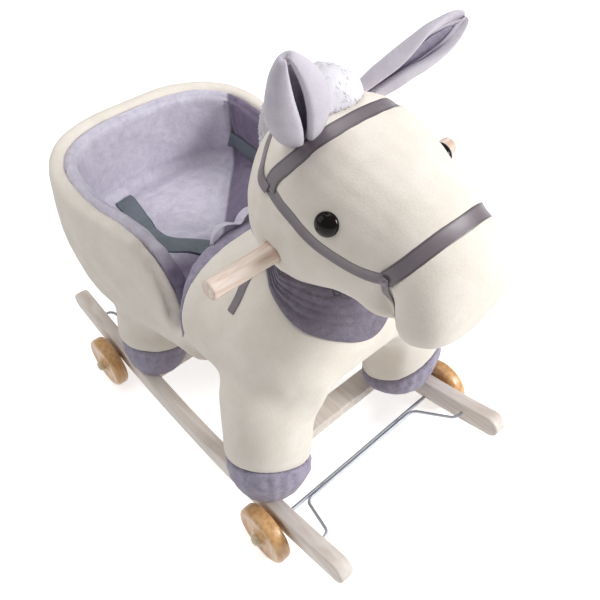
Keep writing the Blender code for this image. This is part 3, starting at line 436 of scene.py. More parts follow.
def lay_strip(name, node, path, width, ground, lift, thickness, finish, step=0.003):
    """A ribbon or belt laid on a surface, with its weave's UVs in metres.

    Lift is its height over the surface, a number or a function of the shares along and across it.
    """
    rise = lift if callable(lift) else lambda share, across: lift
    grounds = [ground.find_nearest(p)[:2] for p in curve_through(path, step)]
    last = len(grounds) - 1
    normals = [n for _, n in grounds]
    for _ in range(3):
        normals = [(normals[max(0, i - 1)] + normals[i] + normals[min(last, i + 1)]).normalized()
                   for i in range(last + 1)]
    rows, uvs = [], []
    for i, (spot, _) in enumerate(grounds):
        before, after = grounds[max(0, i - 1)][0], grounds[min(last, i + 1)][0]
        side = normals[i].cross(after - before).normalized()
        row, marks = [], []
        for t in spread(-0.5, 0.5, 7):
            near, facing, _, _ = ground.find_nearest(spot + side * width * t)
            row.append(near + facing.lerp(normals[i], 0.6).normalized() * rise(i / last, t))
            marks.append((t * width + 0.5, i * step))
        rows.append(row)
        uvs.append(marks)
    for _ in range(2):
        rows = [rows[0]] + [[(a + b * 2 + c) / 4 for a, b, c in zip(*trio)]
                            for trio in zip(rows, rows[1:], rows[2:])] + [rows[-1]]
    thicken(new_piece(name, grid_mesh(name, rows, uvs), finish, replaces=(node,)), thickness)


def placed(at, toward):
    """The place of a piece whose own Z axis is to point that way."""
    return Matrix.Translation(Vector(at)) @ Vector(toward).to_track_quat("Z", "Y").to_matrix().to_4x4()


def turned(name, node, profile, at, toward, finish, steps, body="frame", closed=False):
    """A lathe-turned piece. Profile points are (radius, height along its axis)."""
    mesh = bpy.data.meshes.new(name)
    count = len(profile)
    edges = [(i, (i + 1) % count) for i in range(count if closed else count - 1)]
    mesh.from_pydata([(r, 0.0, h) for r, h in profile], edges, [])
    piece = new_piece(name, mesh, finish, body, (node,))
    modify(piece, "SCREW", steps=steps, render_steps=steps, use_merge_vertices=True,
           merge_threshold=0.00002)
    settle(piece)
    piece.data.transform(placed(at, toward))
    bm = bmesh.new()
    bm.from_mesh(piece.data)
    bmesh.ops.recalc_face_normals(bm, faces=bm.faces)
    bm.to_mesh(piece.data)
    bm.free()
    keep_edges(piece.data, 40)


# Finishes


def plush_finish(name, tips, roots, pile_mm, nap_mm, sheen):
    """Short knitted pile: matt, with a pale halo where it is seen edge on, and nap in soft patches.

    Real pile is about 0.3 mm apart. It is drawn several times coarser, or it would not show.
    """
    made, tree = new_finish(name)
    spots = object_spots(tree)
    nap = noise_at(tree, spots, 1000 / nap_mm, 3, 0.6)
    pile = noise_at(tree, spots, 1000 / pile_mm, 2, 0.0, 0.7)
    patches = scaled(tree, ramp(tree, nap, 0.30, 0.72), 0.35, 0.0)
    share = scaled(tree, ramp(tree, pile, 0.30, 0.62, 0.70), 0.65, patches)
    fine = bumps(tree, pile, 0.32, pile_mm * MM * 0.45)
    surface(tree, {"Roughness": 0.92, "Specular IOR Level": 0.15, "Sheen Weight": sheen,
                   "Sheen Roughness": 0.45, "Base Color": tone(tree, share, roots, tips),
                   "Normal": bumps(tree, nap, 0.35, nap_mm * MM * 0.05, {"Normal": fine})})
    return made


def velvet_finish(name, brushed, crushed, nap_mm, sheen, shaded_panels=()):
    """Crushed velvet: cut pile that lies in patches, pale one way and dark the other, and lustrous.

    Past each plane in the panels argument, given as (start, square to it, how soft, shade), the colour
    is multiplied by that shade: painted shade, for panels that lie in shadow.
    """
    made, tree = new_finish(name)
    spots = object_spots(tree)
    patches = noise_at(tree, spots, 1000 / nap_mm, 4, 1.4)
    strokes = noise_at(tree, spots, 2600 / nap_mm, 3, 2.2)
    pile = noise_at(tree, spots, 650, 2)
    some = scaled(tree, ramp(tree, strokes, 0.38, 0.66), 0.3, scaled(tree, pile, 0.3, 0.05))
    share = scaled(tree, ramp(tree, patches, 0.34, 0.68), 0.5, some)
    final = tone(tree, share, crushed, brushed)
    # Painted shade: past each plane the colour is darkened, as if that panel were in shadow.
    for start, square, soft, shade in shaded_panels:
        away = add_node(tree, "VectorMath", {"operation": "SUBTRACT", 0: spots, 1: start})
        past = add_node(tree, "VectorMath", {"operation": "DOT_PRODUCT", 0: away, 1: square}, "Value")
        final = tone(tree, ramp(tree, past, -soft, soft), final, shade, "MULTIPLY")
    fine = bumps(tree, pile, 0.4, 0.0006)
    surface(tree, {"Roughness": 0.78, "Specular IOR Level": 0.25, "Sheen Weight": sheen,
                   "Sheen Roughness": 0.35, "Base Color": final,
                   "Normal": bumps(tree, strokes, 0.4, 0.0012, {"Normal": fine})})
    return made


def woven_finish(name, face, edge, width_mm, thread_mm, roughness, level, depth):
    """Woven strip: threads across it that catch the light in bars, and a denser edge on each side."""
    made, tree = new_finish(name)
    weave = add_node(tree, "UVMap", {"uv_map": "weave"})
    threads, warps = (
        add_node(tree, "TexWave", {"bands_direction": way, "Scale": 314 / thread_mm, "Distortion": uneven,
                                   "Vector": weave}, "Fac")
        for way, uneven in (("Y", 0.3), ("X", 0.2)))
    mesh = maths(tree, "MULTIPLY", threads, warps)
    across = add_node(tree, "SeparateXYZ", {0: weave})
    off = maths(tree, "ABSOLUTE", maths(tree, "SUBTRACT", across, 0.5))
    border = ramp(tree, off, (width_mm / 2 - 2.2) * MM, (width_mm / 2 - 1.2) * MM)
    wear = noise_at(tree, object_spots(tree), 120, 3)
    shade = scaled(tree, wear, 0.5, scaled(tree, mesh, 0.45, -0.1))
    surface(tree, {"Roughness": roughness, "Specular IOR Level": level, "Sheen Weight": 0.25,
                   "Sheen Roughness": 0.3,
                   "Base Color": tone(tree, maths(tree, "MAXIMUM", border, shade), face, edge),
                   "Normal": bumps(tree, mesh, 0.5, depth)})
    return made


def timber_finish(name, pale, grain, along, ring_mm, roughness, coat, figure=0.8):
    """Sawn beech: rings as long streaks, short dark flecks, and lacquer that leaves the pores open."""
    made, tree = new_finish(name)
    spots = object_spots(tree)
    lines, dashes = (stretched(tree, spots, [pull if axis == along else 1.0 for axis in "XYZ"])
                     for pull in (0.09, 0.22))
    rings = noise_at(tree, lines, 1000 / ring_mm, 4, figure)
    flecks = add_node(tree, "TexVoronoi", {"Scale": 420, "Vector": dashes}, "Distance")
    share = maths(tree, "MAXIMUM", ramp(tree, rings, 0.36, 0.68),
                  ramp(tree, flecks, 0.05, 0.20, 0.25 * figure, 0.0))
    surface(tree, {"Coat Weight": coat, "Coat Roughness": 0.25,
                   "Roughness": ramp(tree, rings, 0, 1, roughness - 0.06, roughness + 0.14),
                   "Base Color": tone(tree, share, pale, grain),
                   "Normal": bumps(tree, share, 0.25, 0.0003)})
    return made


def metal_finish(name, plating, drawn_mm=0.4):
    """Zinc-plated drawn steel: bright, with faint lines from the die and clouded plating."""
    made, tree = new_finish(name)
    spots = object_spots(tree)
    draw = noise_at(tree, stretched(tree, spots, (0.03, 1, 1)), 1000 / drawn_mm, 2)
    surface(tree, {"Metallic": 1.0, "Base Color": (*plating, 1),
                   "Roughness": ramp(tree, noise_at(tree, spots, 60, 3), 0, 1, 0.50, 0.72),
                   "Normal": bumps(tree, draw, 0.2, 0.0002)})
    return made


def moulded_finish(name, plain, roughness, coat, level=0.5):
    """Moulded plastic: even colour, with the faint orange peel that a mould leaves."""
    made, tree = new_finish(name)
    peel = noise_at(tree, object_spots(tree), 900, 1)
    surface(tree, {"Base Color": (*plain, 1), "Coat Weight": coat, "Coat Roughness": 0.04,
                   "Specular IOR Level": level,
                   "Roughness": ramp(tree, peel, 0, 1, roughness * 0.8, roughness * 1.3),
                   "Normal": bumps(tree, peel, 0.06, 0.0002)})
    return made


class TOY_OT_finishes(bpy.types.Operator):
    """Mixes the toy's finishes, from the plush to the zinc"""

    bl_idname = "toy.finishes"
    bl_label = "Mix the finishes"

    def execute(self, context):
        c = colours()
        lining = (c.velvet, c.velvet_crushed)
        # Painted shade on the lining: the far side panel past its seam, and the low front where the lining
        # turns down to the wings' feet, are darkened as if in shadow.
        shaded_panels = ((SEAT_SEAM, SEAM_SQUARE, 0.002, linear("9c94a2")),
                         (WING_FOOT, FOOT_SQUARE, 0.016, linear("a39baa")))
        FINISHES.update({
            "cream_plush": plush_finish("short cream plush, knitted", c.plush, c.plush_root, 1.9, 30, 0.25),
            "ear_plush": plush_finish("short white plush, knitted", c.ear, c.ear_root, 1.7, 22, 0.35),
            "white_fur": plush_finish("long white fleece", c.fleece, c.fleece_root, 2.6, 14, 0.45),
            "lilac_velvet": velvet_finish("lilac velvet, crushed", *lining, 26, 0.35),
            "seat_velvet": velvet_finish("lilac velvet, nap turned on one panel", *lining, 26, 0.30,
                                         shaded_panels),
            "grey_velvet": velvet_finish("grey-lilac velvet, cut", c.hoof, c.hoof_crushed, 20, 0.30),
            "scarf_velvet": velvet_finish("grey velvet, pressed in folds", linear("8d8695"),
                                          linear("6c6572"), 20, 0.25),
            "satin_ribbon": woven_finish("satin ribbon, woven", c.ribbon, c.ribbon_edge, 14, 1.1, 0.30,
                                         0.85, 0.0002),
            "belt_webbing": woven_finish("polyester webbing, woven", c.webbing, linear("4d565d"), 27, 2.2,
                                         0.6, 0.4, 0.0006),
            "beech": timber_finish("pale beech, sanded and lacquered", c.beech, c.beech_grain, "Y", 9,
                                   0.5, 0.1, 0.5),
            "dowel": timber_finish("beech dowel, turned", linear("f0e0d4"), linear("d0b39f"), "X", 6,
                                   0.5, 0.1),
            "varnished_beech": timber_finish("turned beech, honey varnish", c.varnish, c.varnish_grain,
                                             "Z", 5, 0.34, 0.45, 0.25),
            "plywood": timber_finish("birch plywood, sawn", linear("d8b98c"), linear("a9824f"), "X", 4,
                                     0.7, 0.0),
            "steel": metal_finish("steel wire, zinc plated", c.zinc),
            "rivet": metal_finish("steel rivets, blackened", linear("8b828a")),
            "cap_plastic": moulded_finish("nylon caps, moulded", c.cap, 0.4, 0.1),
            "black_plastic": moulded_finish("eye acrylic, polished", c.eye, 0.09, 0.0, 0.22),
        })
        slots = {part["node"]: part["material_slot"] for part in frame["record"]["subparts"]}
        slots["neck_board"] = "scarf_velvet"  # it is sewn into the scarf's velvet under the chin
        for name, node in frame["nodes"].items():
            node.data.materials.clear()
            node.data.materials.append(FINISHES[slots[name]])
        return {"FINISHED"}


# Stuffed pieces


BROW_WIDTH = 0.016
NOSE_WIDTH = 0.015
CHIN_WIDTH = 0.007
CHEEK_WIDTH = 0.011
CROWN_WIDTH = 0.009
REIN_WIDTH = 0.010

# Middles of the bridle's straps on the right side, from the cheek's two crossings
JUNCTION = (-0.0814, -0.133, 0.4803)
RIVET = (-0.0619, -0.2501, 0.4438)
CHEEK_PATH = ((-0.08, -0.127, 0.484), (-0.084, -0.1631, 0.4694), (-0.0814, -0.1842, 0.4572),
              (-0.0748, -0.207, 0.4471), (-0.0678, -0.2289, 0.4417), (-0.06, -0.257, 0.4445))
BROW_PATH = (JUNCTION, (-0.0763, -0.1345, 0.492), (-0.068, -0.1425, 0.503),
             (-0.0585, -0.148, 0.5115), (-0.0488, -0.1502, 0.517), (-0.0317, -0.1555, 0.5239),
             (-0.0118, -0.1582, 0.5276))
CROWN_PATH = (JUNCTION, (-0.0762, -0.1191, 0.4828), (-0.0674, -0.1109, 0.4927),
              (-0.056, -0.101, 0.503), (-0.044, -0.092, 0.512), (-0.03, -0.083, 0.518),
              (0.0, -0.079, 0.523))
NOSE_PATH = (RIVET, (-0.0534, -0.2602, 0.4582), (-0.0395, -0.2677, 0.4707),
             (-0.0219, -0.2716, 0.4778), (0.0, -0.2738, 0.4801))
CHIN_PATH = (RIVET, (-0.0637, -0.2532, 0.4337), (-0.0646, -0.2559, 0.4248), (-0.058, -0.256, 0.402),
             (-0.03, -0.256, 0.387), (0.0, -0.256, 0.383))
REIN_PATH = ((-0.074, -0.086, 0.415), (-0.077, -0.088, 0.388), (-0.076, -0.087, 0.362),
             (-0.076, -0.083, 0.347), (-0.0812, -0.0835, 0.3368), (-0.093, -0.0868, 0.3254),
             (-0.1053, -0.087, 0.3119))
CHIN_GROOVE_Y = -0.2555
JAW_Y = -0.212
JAW_LIFT = 0.011
WING_DRAWN_BACK = 0.0095
CHEST_RISE = 0.024
CHEST_TUCK = 0.006


def whole_path(half):
    return list(half) + mirrored([p for p in half if p[0] < 0])


def press_straps(piece, paths, depth):
    """Lets the straps sink into the plush: points near a strap move in, those beside it bulge."""
    marks = [(p, width) for path, width in paths for p in curve_through(path, 0.003)]
    tree = KDTree(len(marks))
    for i, (mark, _) in enumerate(marks):
        tree.insert(mark, i)
    tree.balance()

    def sink(spot, _normal):
        _, i, away = tree.find(spot)
        half = marks[i][1] / 2
        return -depth * bell(away, half * 1.15) + 0.3 * depth * bell(away - half * 2.2, half)

    swell(piece, sink)


def chin_groove(spot, _normal):
    """The chin strap draws the cloth in behind the muzzle, most of all underneath."""
    away = spot.y - CHIN_GROOVE_Y
    deep = below(spot.z, 0.452, 0.05)
    return -0.0115 * deep * bell(away, 0.0085) + 0.0012 * deep * bell(abs(away) - 0.02, 0.008)


def lean_jaw(spot, normal):
    """The jaw is stuffed less behind the muzzle, so its under side rises to the chin strap."""
    return -JAW_LIFT * bell(spot.y - JAW_Y, 0.034) * below(spot.z, 0.43, 0.05) * max(0.0, -normal.z)


class TOY_OT_head(bpy.types.Operator):
    """Stuffs the head and lets the bridle's straps press into it"""

    bl_idname = "toy.head"
    bl_label = "Stuff the head"

    def execute(self, context):
        head = stuffed("head", "cream_plush", sizes().fine_grid, 60, 0.8)
        paths = [(whole_path(BROW_PATH), BROW_WIDTH), (whole_path(NOSE_PATH), NOSE_WIDTH),
                 (whole_path(CHIN_PATH), CHIN_WIDTH), (CHEEK_PATH, CHEEK_WIDTH),
                 (mirrored(CHEEK_PATH), CHEEK_WIDTH)]
        swell(head, lean_jaw)
        press_straps(head, paths, sizes().strap_press)
        swell(head, chin_groove)
        PIECES["head"] = head
        return {"FINISHED"}


class TOY_OT_body(bpy.types.Operator):
    """Stuffs the chest, the rump, the legs and the outside of the seat tub"""

    bl_idname = "toy.body"
    bl_label = "Stuff the body"

    def execute(self, context):
        grid = sizes().grid
        trunk = ["body", "rump"] + ["leg_" + limb for limb in LIMBS]
        cloth = sewn_together("trunk", [frame["nodes"][node].data for node in trunk], grid, 0.008)
        cloth = sewn_together("trunk_and_tub", [cloth, frame["nodes"]["seat_tub"].data], grid, 0.0025)
        body = new_piece("body_plush", cloth, "cream_plush", replaces=trunk + ["seat_tub"])
        relax(body, 40)
        relax(body, 160, 0.2, under_tub)
        swell(body, lumps(sizes().lumps * 1.3, 0.06, 1.2))
        swell(body, tub_dents)
        swell(body, drawn_up_chest)
        swell(body, wing_edge)
        relax(body, 30, 0.3, lambda spot: below(spot.y, -0.1, 0.03) * below(spot.z, 0.26, 0.02))
        body.data.shade_smooth()
        PIECES["body"] = body
        return {"FINISHED"}


def wing_edge(spot, normal):
    """The wing's front edge is drawn back, so that the lining shows before it."""
    x, y, z = spot
    low_wing = above(z, 0.232, 0.015) * below(z, 0.335, 0.04) * below(y, 0.085, 0.03)
    return (-WING_DRAWN_BACK * low_wing * above(abs(x), 0.112, 0.012) * above(y, -0.012, 0.006)
            * max(0.0, -normal.y))


def drawn_up_chest(spot, normal):
    """The chest's cover is pulled up between the front legs, towards the board inside."""
    x, y, z = spot
    between = below(abs(x), 0.078, 0.034)
    under = below(y, -0.115, 0.05) * below(z, 0.25, 0.05)
    front = below(y, -0.168, 0.02) * below(z, 0.276, 0.03) * max(0.0, -normal.y)
    return -between * (CHEST_RISE * under + CHEST_TUCK * front)


def under_tub(spot):
    """How much the cloth is drawn smooth from the tub's foot down over the haunches."""
    x, y, z = spot
    low = above(z, 0.18, 0.02) * below(z, 0.262, 0.02)
    outside = max(above(abs(x), 0.085, 0.02) * above(y, 0.012, 0.03), above(y, 0.225, 0.02))
    return low * outside


def tub_dents(spot, normal):
    """Broad upright hollows where the plush is drawn round the wings, and slack near its foot."""
    x, y, z = spot
    if normal.z > 0.5 or z < 0.235 or abs(x) < 0.12:
        return 0.0
    upright = bell(y - 0.075 - 0.5 * (z - 0.25), 0.016) * above(z, 0.235, 0.04) * below(z, 0.36, 0.06)
    beside = bell(y - 0.120 - 0.6 * (z - 0.25), 0.012) * above(z, 0.235, 0.03) * below(z, 0.31, 0.05)
    return -0.0030 * upright - 0.0022 * beside


class TOY_OT_hooves(bpy.types.Operator):
    """Makes the velvet hooves, puckered where they are sewn to the legs"""

    bl_idname = "toy.hooves"
    bl_label = "Sew the hooves"

    def execute(self, context):
        for limb in LIMBS:
            hoof = stuffed("hoof_" + limb, "grey_velvet", sizes().fine_grid, 26, 1.1)
            low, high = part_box("hoof_" + limb)
            middle = ((low[0] + high[0]) / 2, (low[1] + high[1]) / 2)

            def pucker(spot, normal, middle=middle, low=low[2]):
                turn = math.atan2(spot.y - middle[1], spot.x - middle[0])
                level = ease((spot.z - low - 0.012) / 0.02) * max(0.0, 1 - abs(normal.z) * 1.4)
                return 0.0007 * level * math.sin(17 * turn + 2 * math.sin(3 * turn))

            swell(hoof, pucker)
        return {"FINISHED"}


# Seat


# The seam and the wings' feet also bound the painted shade on the seat velvet.
SEAT_SEAM = (-0.012, 0.062, 0.0)  # where the far side panel's seam meets the floor's front
SEAM_SQUARE = (0.737, -0.675, 0.0)  # square to the seam in plan, towards the panel
WING_FOOT = (0.0, 0.048, 0.295)  # where the lining turns down to the wings' feet
FOOT_SQUARE = (0.0, -0.8, -0.6)
FAR_PANEL_RISE = 0.026
NEAR_PANEL_RISE = 0.009
RIM_ROLL = 0.0046
WING_ROLL = 0.0030
FILL_PRESSURE = 3.0
FILL_FRAMES = 18  # steps of the cloth simulation


def side_panels(spot, normal):
    """The side panels slope down into the bucket, to seams that run in from its back corners."""
    x, y, z = spot
    past = (abs(x) - SEAT_SEAM[0]) * SEAM_SQUARE[0] + (y - SEAT_SEAM[1]) * SEAM_SQUARE[1]
    floor = above(normal.z, 0.3, 0.4) * below(z, 0.3, 0.01) * above(y, 0.045, 0.03)
    groove = bell(past, 0.004) * below(z, 0.33, 0.04) * above(y, 0.05, 0.02)
    rise = FAR_PANEL_RISE if x > 0 else NEAR_PANEL_RISE
    return rise * floor * ease(past / 0.04) - 0.003 * groove


def rolled_over(spot, normal):
    """The lining is drawn over the tub's rim, and over the front edge of each wing."""
    x, y, z = spot
    away = Vector((x, y - 0.12, 0)).normalized()
    outwards = ease((normal.dot(away) + 0.4) / 0.6) * above(z, 0.3, 0.03) * above(y, 0.05, 0.04)
    wing = below(y, 0.055, 0.03) * above(abs(x), 0.085, 0.015)
    return RIM_ROLL * outwards + WING_ROLL * wing


def inflate(piece, cap, held):
    """Fills a cloth form with air. Held picks the points that stay, and no point moves past cap."""
    spots = points_of(piece.data)
    start = spots.copy()
    group = piece.vertex_groups.new(name="held")
    fixed = [i for i, spot in enumerate(spots) if held(spot)]
    group.add(fixed, 1.0, "REPLACE")
    cloth = piece.modifiers.new("fill", "CLOTH")
    cloth.settings.use_pressure = True
    cloth.settings.uniform_pressure_force = FILL_PRESSURE
    cloth.settings.effector_weights.gravity = 0
    cloth.settings.vertex_group_mass = "held"
    cloth.settings.tension_stiffness = 12
    cloth.settings.compression_stiffness = 12
    cloth.point_cache.frame_start = 1
    cloth.point_cache.frame_end = FILL_FRAMES
    for step in range(1, FILL_FRAMES + 1):
        bpy.context.scene.frame_set(step)
    settle(piece)
    bpy.context.scene.frame_set(1)
    moved = points_of(piece.data) - start
    far = np.linalg.norm(moved, axis=1, keepdims=True)
    moved *= np.minimum(1.0, cap / np.maximum(far, 1e-9))
    piece.data.vertices.foreach_set("co", (start + moved).ravel())
    piece.data.update()


def lining_folds(spot, normal):
    """Upright folds where the lining turns each back corner, and slack creases across the back."""
    x, y, z = spot
    if normal.z > 0.6:
        return 0.0
    rise = above(z, 0.25, 0.03) * below(z, 0.375, 0.03)
    turn = 0.199 - 0.10 * (0.33 - z)
    folds = 1.3 * bell(y - turn, 0.0035) * above(abs(x), 0.085, 0.01)
    for depth, ahead, low in ((0.7, 0.011, 0.3), (0.4, 0.02, 0.315)):
        folds += depth * bell(y - turn + ahead, 0.003) * above(abs(x), 0.09, 0.01) * above(z, low, 0.02)
    creases = noise.noise(Vector((x * 28, y * 28, z * 16 + 3)))
    creases *= noise.noise(Vector((x * 60, y * 60, z * 40)))
    seam = bell(z - 0.272, 0.003)
    return -0.0035 * folds * rise + 0.0045 * creases * rise - 0.0012 * seam


class TOY_OT_seat(bpy.types.Operator):
    """Sews the lining and the cushion in one, makes the pommel pad, and fills both with air"""

    bl_idname = "toy.seat"
    bl_label = "Upholster the seat"

    def execute(self, context):
        nodes = ["seat_lining", "seat_cushion"]
        fine = sizes().fine_grid
        cloth = sewn_together("seat", [frame["nodes"][node].data for node in nodes], fine, 0.006)
        seat = new_piece("seat_velvet", cloth, "seat_velvet", replaces=nodes)
        relax(seat, 60)
        swell(seat, side_panels)
        relax(seat, 12, 0.3, lambda spot: below(spot.z, 0.31, 0.02))
        swell(seat, rolled_over)
        swell(seat, lining_folds)
        seat.data.shade_smooth()
        pommel = stuffed("pommel_pad", "grey_velvet", fine, 30, 0.0)
        low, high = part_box("seat_cushion")
        inflate(seat, 0.004, lambda spot: spot[2] < low[2] + 0.006 or spot[2] > high[2] - 0.001)
        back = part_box("pommel_pad")[0][1]
        inflate(pommel, 0.003, lambda spot: spot[1] < back + 0.004 or spot[2] < low[2] + 0.006)
        swell(pommel, lumps(0.0012, 0.03, 4.0))
        PIECES["seat"] = seat
        PIECES["pommel_pad"] = pommel
        return {"FINISHED"}


# Belts


BELT_RIGHT_PATH = ((-0.058, 0.228, 0.266), (-0.064, 0.19, 0.268), (-0.071, 0.15, 0.268),
                   (-0.076, 0.112, 0.268), (-0.066, 0.086, 0.268), (-0.048, 0.07, 0.268),
                   (-0.034, 0.055, 0.268))
BELT_LEFT_PATH = ((0.111, 0.202, 0.296), (0.117, 0.182, 0.293), (0.118, 0.16, 0.289),
                  (0.117, 0.138, 0.285), (0.112, 0.112, 0.275), (0.096, 0.088, 0.268),
                  (0.07, 0.07, 0.268), (0.038, 0.054, 0.268))
BELT_WIDTH = 0.027
KEEPER_WIDTH = 0.017
KEEPER_HALF = 0.060
KEEPER_Z = 0.330


class TOY_OT_belts(bpy.types.Operator):
    """Lays the two seat belts on the cushion and sews the belt keeper to the pommel"""

    bl_idname = "toy.belts"
    bl_label = "Lay the belts"

    def execute(self, context):
        seat = ground_of(PIECES["seat"])
        for side, path in (("right", BELT_RIGHT_PATH), ("left", BELT_LEFT_PATH)):
            lay_strip("webbing_" + side, "belt_" + side, path, BELT_WIDTH, seat,
                      lambda along, across: 0.0008 + 0.002 * (0.5 + 0.5 * math.sin(9 * along + 3 * across)),
                      sizes().belt_thickness, "belt_webbing", step=0.004)
        path = [(x, 0.012, KEEPER_Z - 0.012 * (x / KEEPER_HALF) ** 4)
                for x in spread(-KEEPER_HALF, KEEPER_HALF, 9)]
        lay_strip("keeper_band", "belt_keeper", path, KEEPER_WIDTH, ground_of(PIECES["pommel_pad"]),
                  lambda along, across: 0.0008 + 0.012 * abs(math.sin(3 * math.pi * along)) ** 0.6,
                  0.0012, "lilac_velvet", step=0.0025)
        return {"FINISHED"}


# Bridle


RIVET_PROFILE = ((0.0, 0.0024), (0.0014, 0.0022), (0.0026, 0.0016), (0.0031, 0.0008), (0.0039, 0.0007),
                 (0.0042, 0.0003), (0.0042, 0.0), (0.0, 0.0))


class TOY_OT_bridle(bpy.types.Operator):
    """Lays the satin straps on the head, the reins on the neck, and sets the two rivets"""

    bl_idname = "toy.bridle"
    bl_label = "Put on the bridle"

    def execute(self, context):
        thick = sizes().ribbon_thickness
        head = ground_of(PIECES["head"])
        neck = ground_of(PIECES["head"], PIECES["body"])

        def lay_pair(name, node, path, width, ground, lift):
            for side, turn in (("left", mirrored), ("right", list)):
                lay_strip(name + side, node + side, turn(path), width, ground, lift, thick, "satin_ribbon")

        lay_pair("cheek_ribbon_", "cheek_strap_", CHEEK_PATH, CHEEK_WIDTH, head, 0.0004)
        for name, node, half, width, layers in (
                ("brow_ribbon", "browband", BROW_PATH, BROW_WIDTH, 1),
                ("nose_ribbon", "noseband", NOSE_PATH, NOSE_WIDTH, 1),
                ("chin_ribbon", "chin_strap", CHIN_PATH, CHIN_WIDTH, 2),
                ("crown_ribbon", "crown_strap", CROWN_PATH, CROWN_WIDTH, 2)):
            lay_strip(name, node, whole_path(half), width, head, over_ends(layers, thick), thick,
                      "satin_ribbon")
        lay_pair("rein_ribbon_", "rein_", REIN_PATH, REIN_WIDTH, neck, 0.0012)
        for side, s in SIDES:
            spot, normal, _, _ = head.find_nearest(Vector((-s * RIVET[0], RIVET[1], RIVET[2])))
            turned("rivet_dome_" + side, "rivet_" + side, RIVET_PROFILE,
                   spot + normal * (0.0012 + 3 * thick), normal, "rivet", 40)
        return {"FINISHED"}


def over_ends(layers, thick):
    """Lift for a strap whose two ends cross so many straps already laid."""
    return lambda along, across: (
        0.0005 + layers * (thick + 0.0003) * below(min(along, 1 - along), 0.14, 0.1))


# Ears, mane and eyes


EARS = (  # side, root, tip, way it opens, half width laid flat, roll at root and tip in degrees
    ("left", (0.04, -0.109, 0.505), (0.138, -0.15, 0.565), (-0.3, -0.88, 0.3), 0.024, 172, 110),
    ("right", (-0.04, -0.128, 0.512), (-0.081, -0.163, 0.606), (-0.4, -0.86, 0.22), 0.045, 175, 166),
)
EAR_DEPTH = 0.8  # the roll is wider than it is deep
EAR_SPREAD = 1.55
EAR_THICKNESS = 0.0085
EAR_LINING = 0.0012
EAR_LINING_LIFT = 0.0051
LOCK_THICKNESS = 0.0008
LOCK_SEED = 11
EYE = (0.0702, -0.1936, 0.4734)
EYE_RADIUS = 0.0108
EAR_OUTLINE = ((0.0, 0.46), (0.1, 0.6), (0.22, 0.82), (0.38, 0.98), (0.55, 1.0), (0.72, 0.84),
               (0.86, 0.56), (0.95, 0.3), (1.0, 0.06))


def ear_width(s):
    for (a, wide), (b, narrow) in zip(EAR_OUTLINE, EAR_OUTLINE[1:]):
        if s <= b:
            return blend(wide, narrow, (s - a) / (b - a))
    return EAR_OUTLINE[-1][1]


def ear_rows(ear, lift, reach, start, stop):
    """Points of a leaf rolled about its spine, so that its margins come forward to a slit."""
    _, root, tip, inner, half, roll_low, roll_high = ear
    root, tip, inner = Vector(root), Vector(tip), Vector(inner).normalized()
    along = (tip - root).normalized()
    across = along.cross(inner).normalized()
    facing = across.cross(along)
    rows = []
    for s in spread(start, stop, 24):
        roll = math.radians(blend(roll_low, roll_high, above(s, 0.35, 0.65)))
        bend = ear_width(s) * half / roll
        centre = root.lerp(tip, s) - facing * (0.3 * bend)
        row = []
        for t in spread(-reach, reach, 19):
            turn = roll * t
            inward = facing * EAR_DEPTH * math.cos(turn) - across * EAR_SPREAD * math.sin(turn)
            ripple = 0.0008 * noise.noise(Vector((t * 2.2, s * 6, root.x * 90)))
            row.append(centre + facing * EAR_DEPTH * bend - inward * (bend - lift - ripple))
        rows.append(row)
    return rows


class TOY_OT_ears(bpy.types.Operator):
    """Sews the ears: a cream leaf, folded down its middle, with a velvet lining"""

    bl_idname = "toy.ears"
    bl_label = "Sew the ears"

    def execute(self, context):
        for ear in EARS:
            side = ear[0]
            rows = ear_rows(ear, 0.0, 1.0, 0.0, 1.0)
            shell = new_piece("ear_shell_" + side, grid_mesh("ear_shell_" + side, rows), "ear_plush",
                              replaces=("ear_" + side,))
            thicken(shell, EAR_THICKNESS, 2, 0.0)
            rows = ear_rows(ear, EAR_LINING_LIFT, 0.9, 0.06, 0.95)
            lining = new_piece("ear_velvet_" + side, grid_mesh("ear_velvet_" + side, rows), "grey_velvet",
                               replaces=("ear_lining_" + side,))
            thicken(lining, EAR_LINING, 1, 0.0)
        return {"FINISHED"}


def lock(spot, way, droop, reach, rng):
    """A tapered lock of fleece as rings of three points, curling as it droops."""
    side = way.orthogonal().normalized()
    rings = []
    here, ahead = spot.copy(), way.copy()
    twist = rng.uniform(0, 6.28)
    bend = Vector((rng.uniform(-1, 1), rng.uniform(-1, 1), rng.uniform(-1, 1))) * 0.25
    for k in range(4):
        share = k / 3
        wide = LOCK_THICKNESS * (1 - share) ** 0.7 * (0.6 + 0.8 * math.sin(math.pi * min(0.5, share + 0.2)))
        other = ahead.cross(side).normalized()
        ring = []
        for turn in (0, 2.094, 4.189):  # thirds of a turn
            around = side * math.cos(turn + twist) + other * math.sin(turn + twist)
            ring.append(here + around * max(wide, 0.00008))
        rings.append(ring)
        ahead = (ahead + droop * 0.35 + bend).normalized()
        here = here + ahead * (reach / 3)
        side = (side - ahead * side.dot(ahead)).normalized()
    return rings


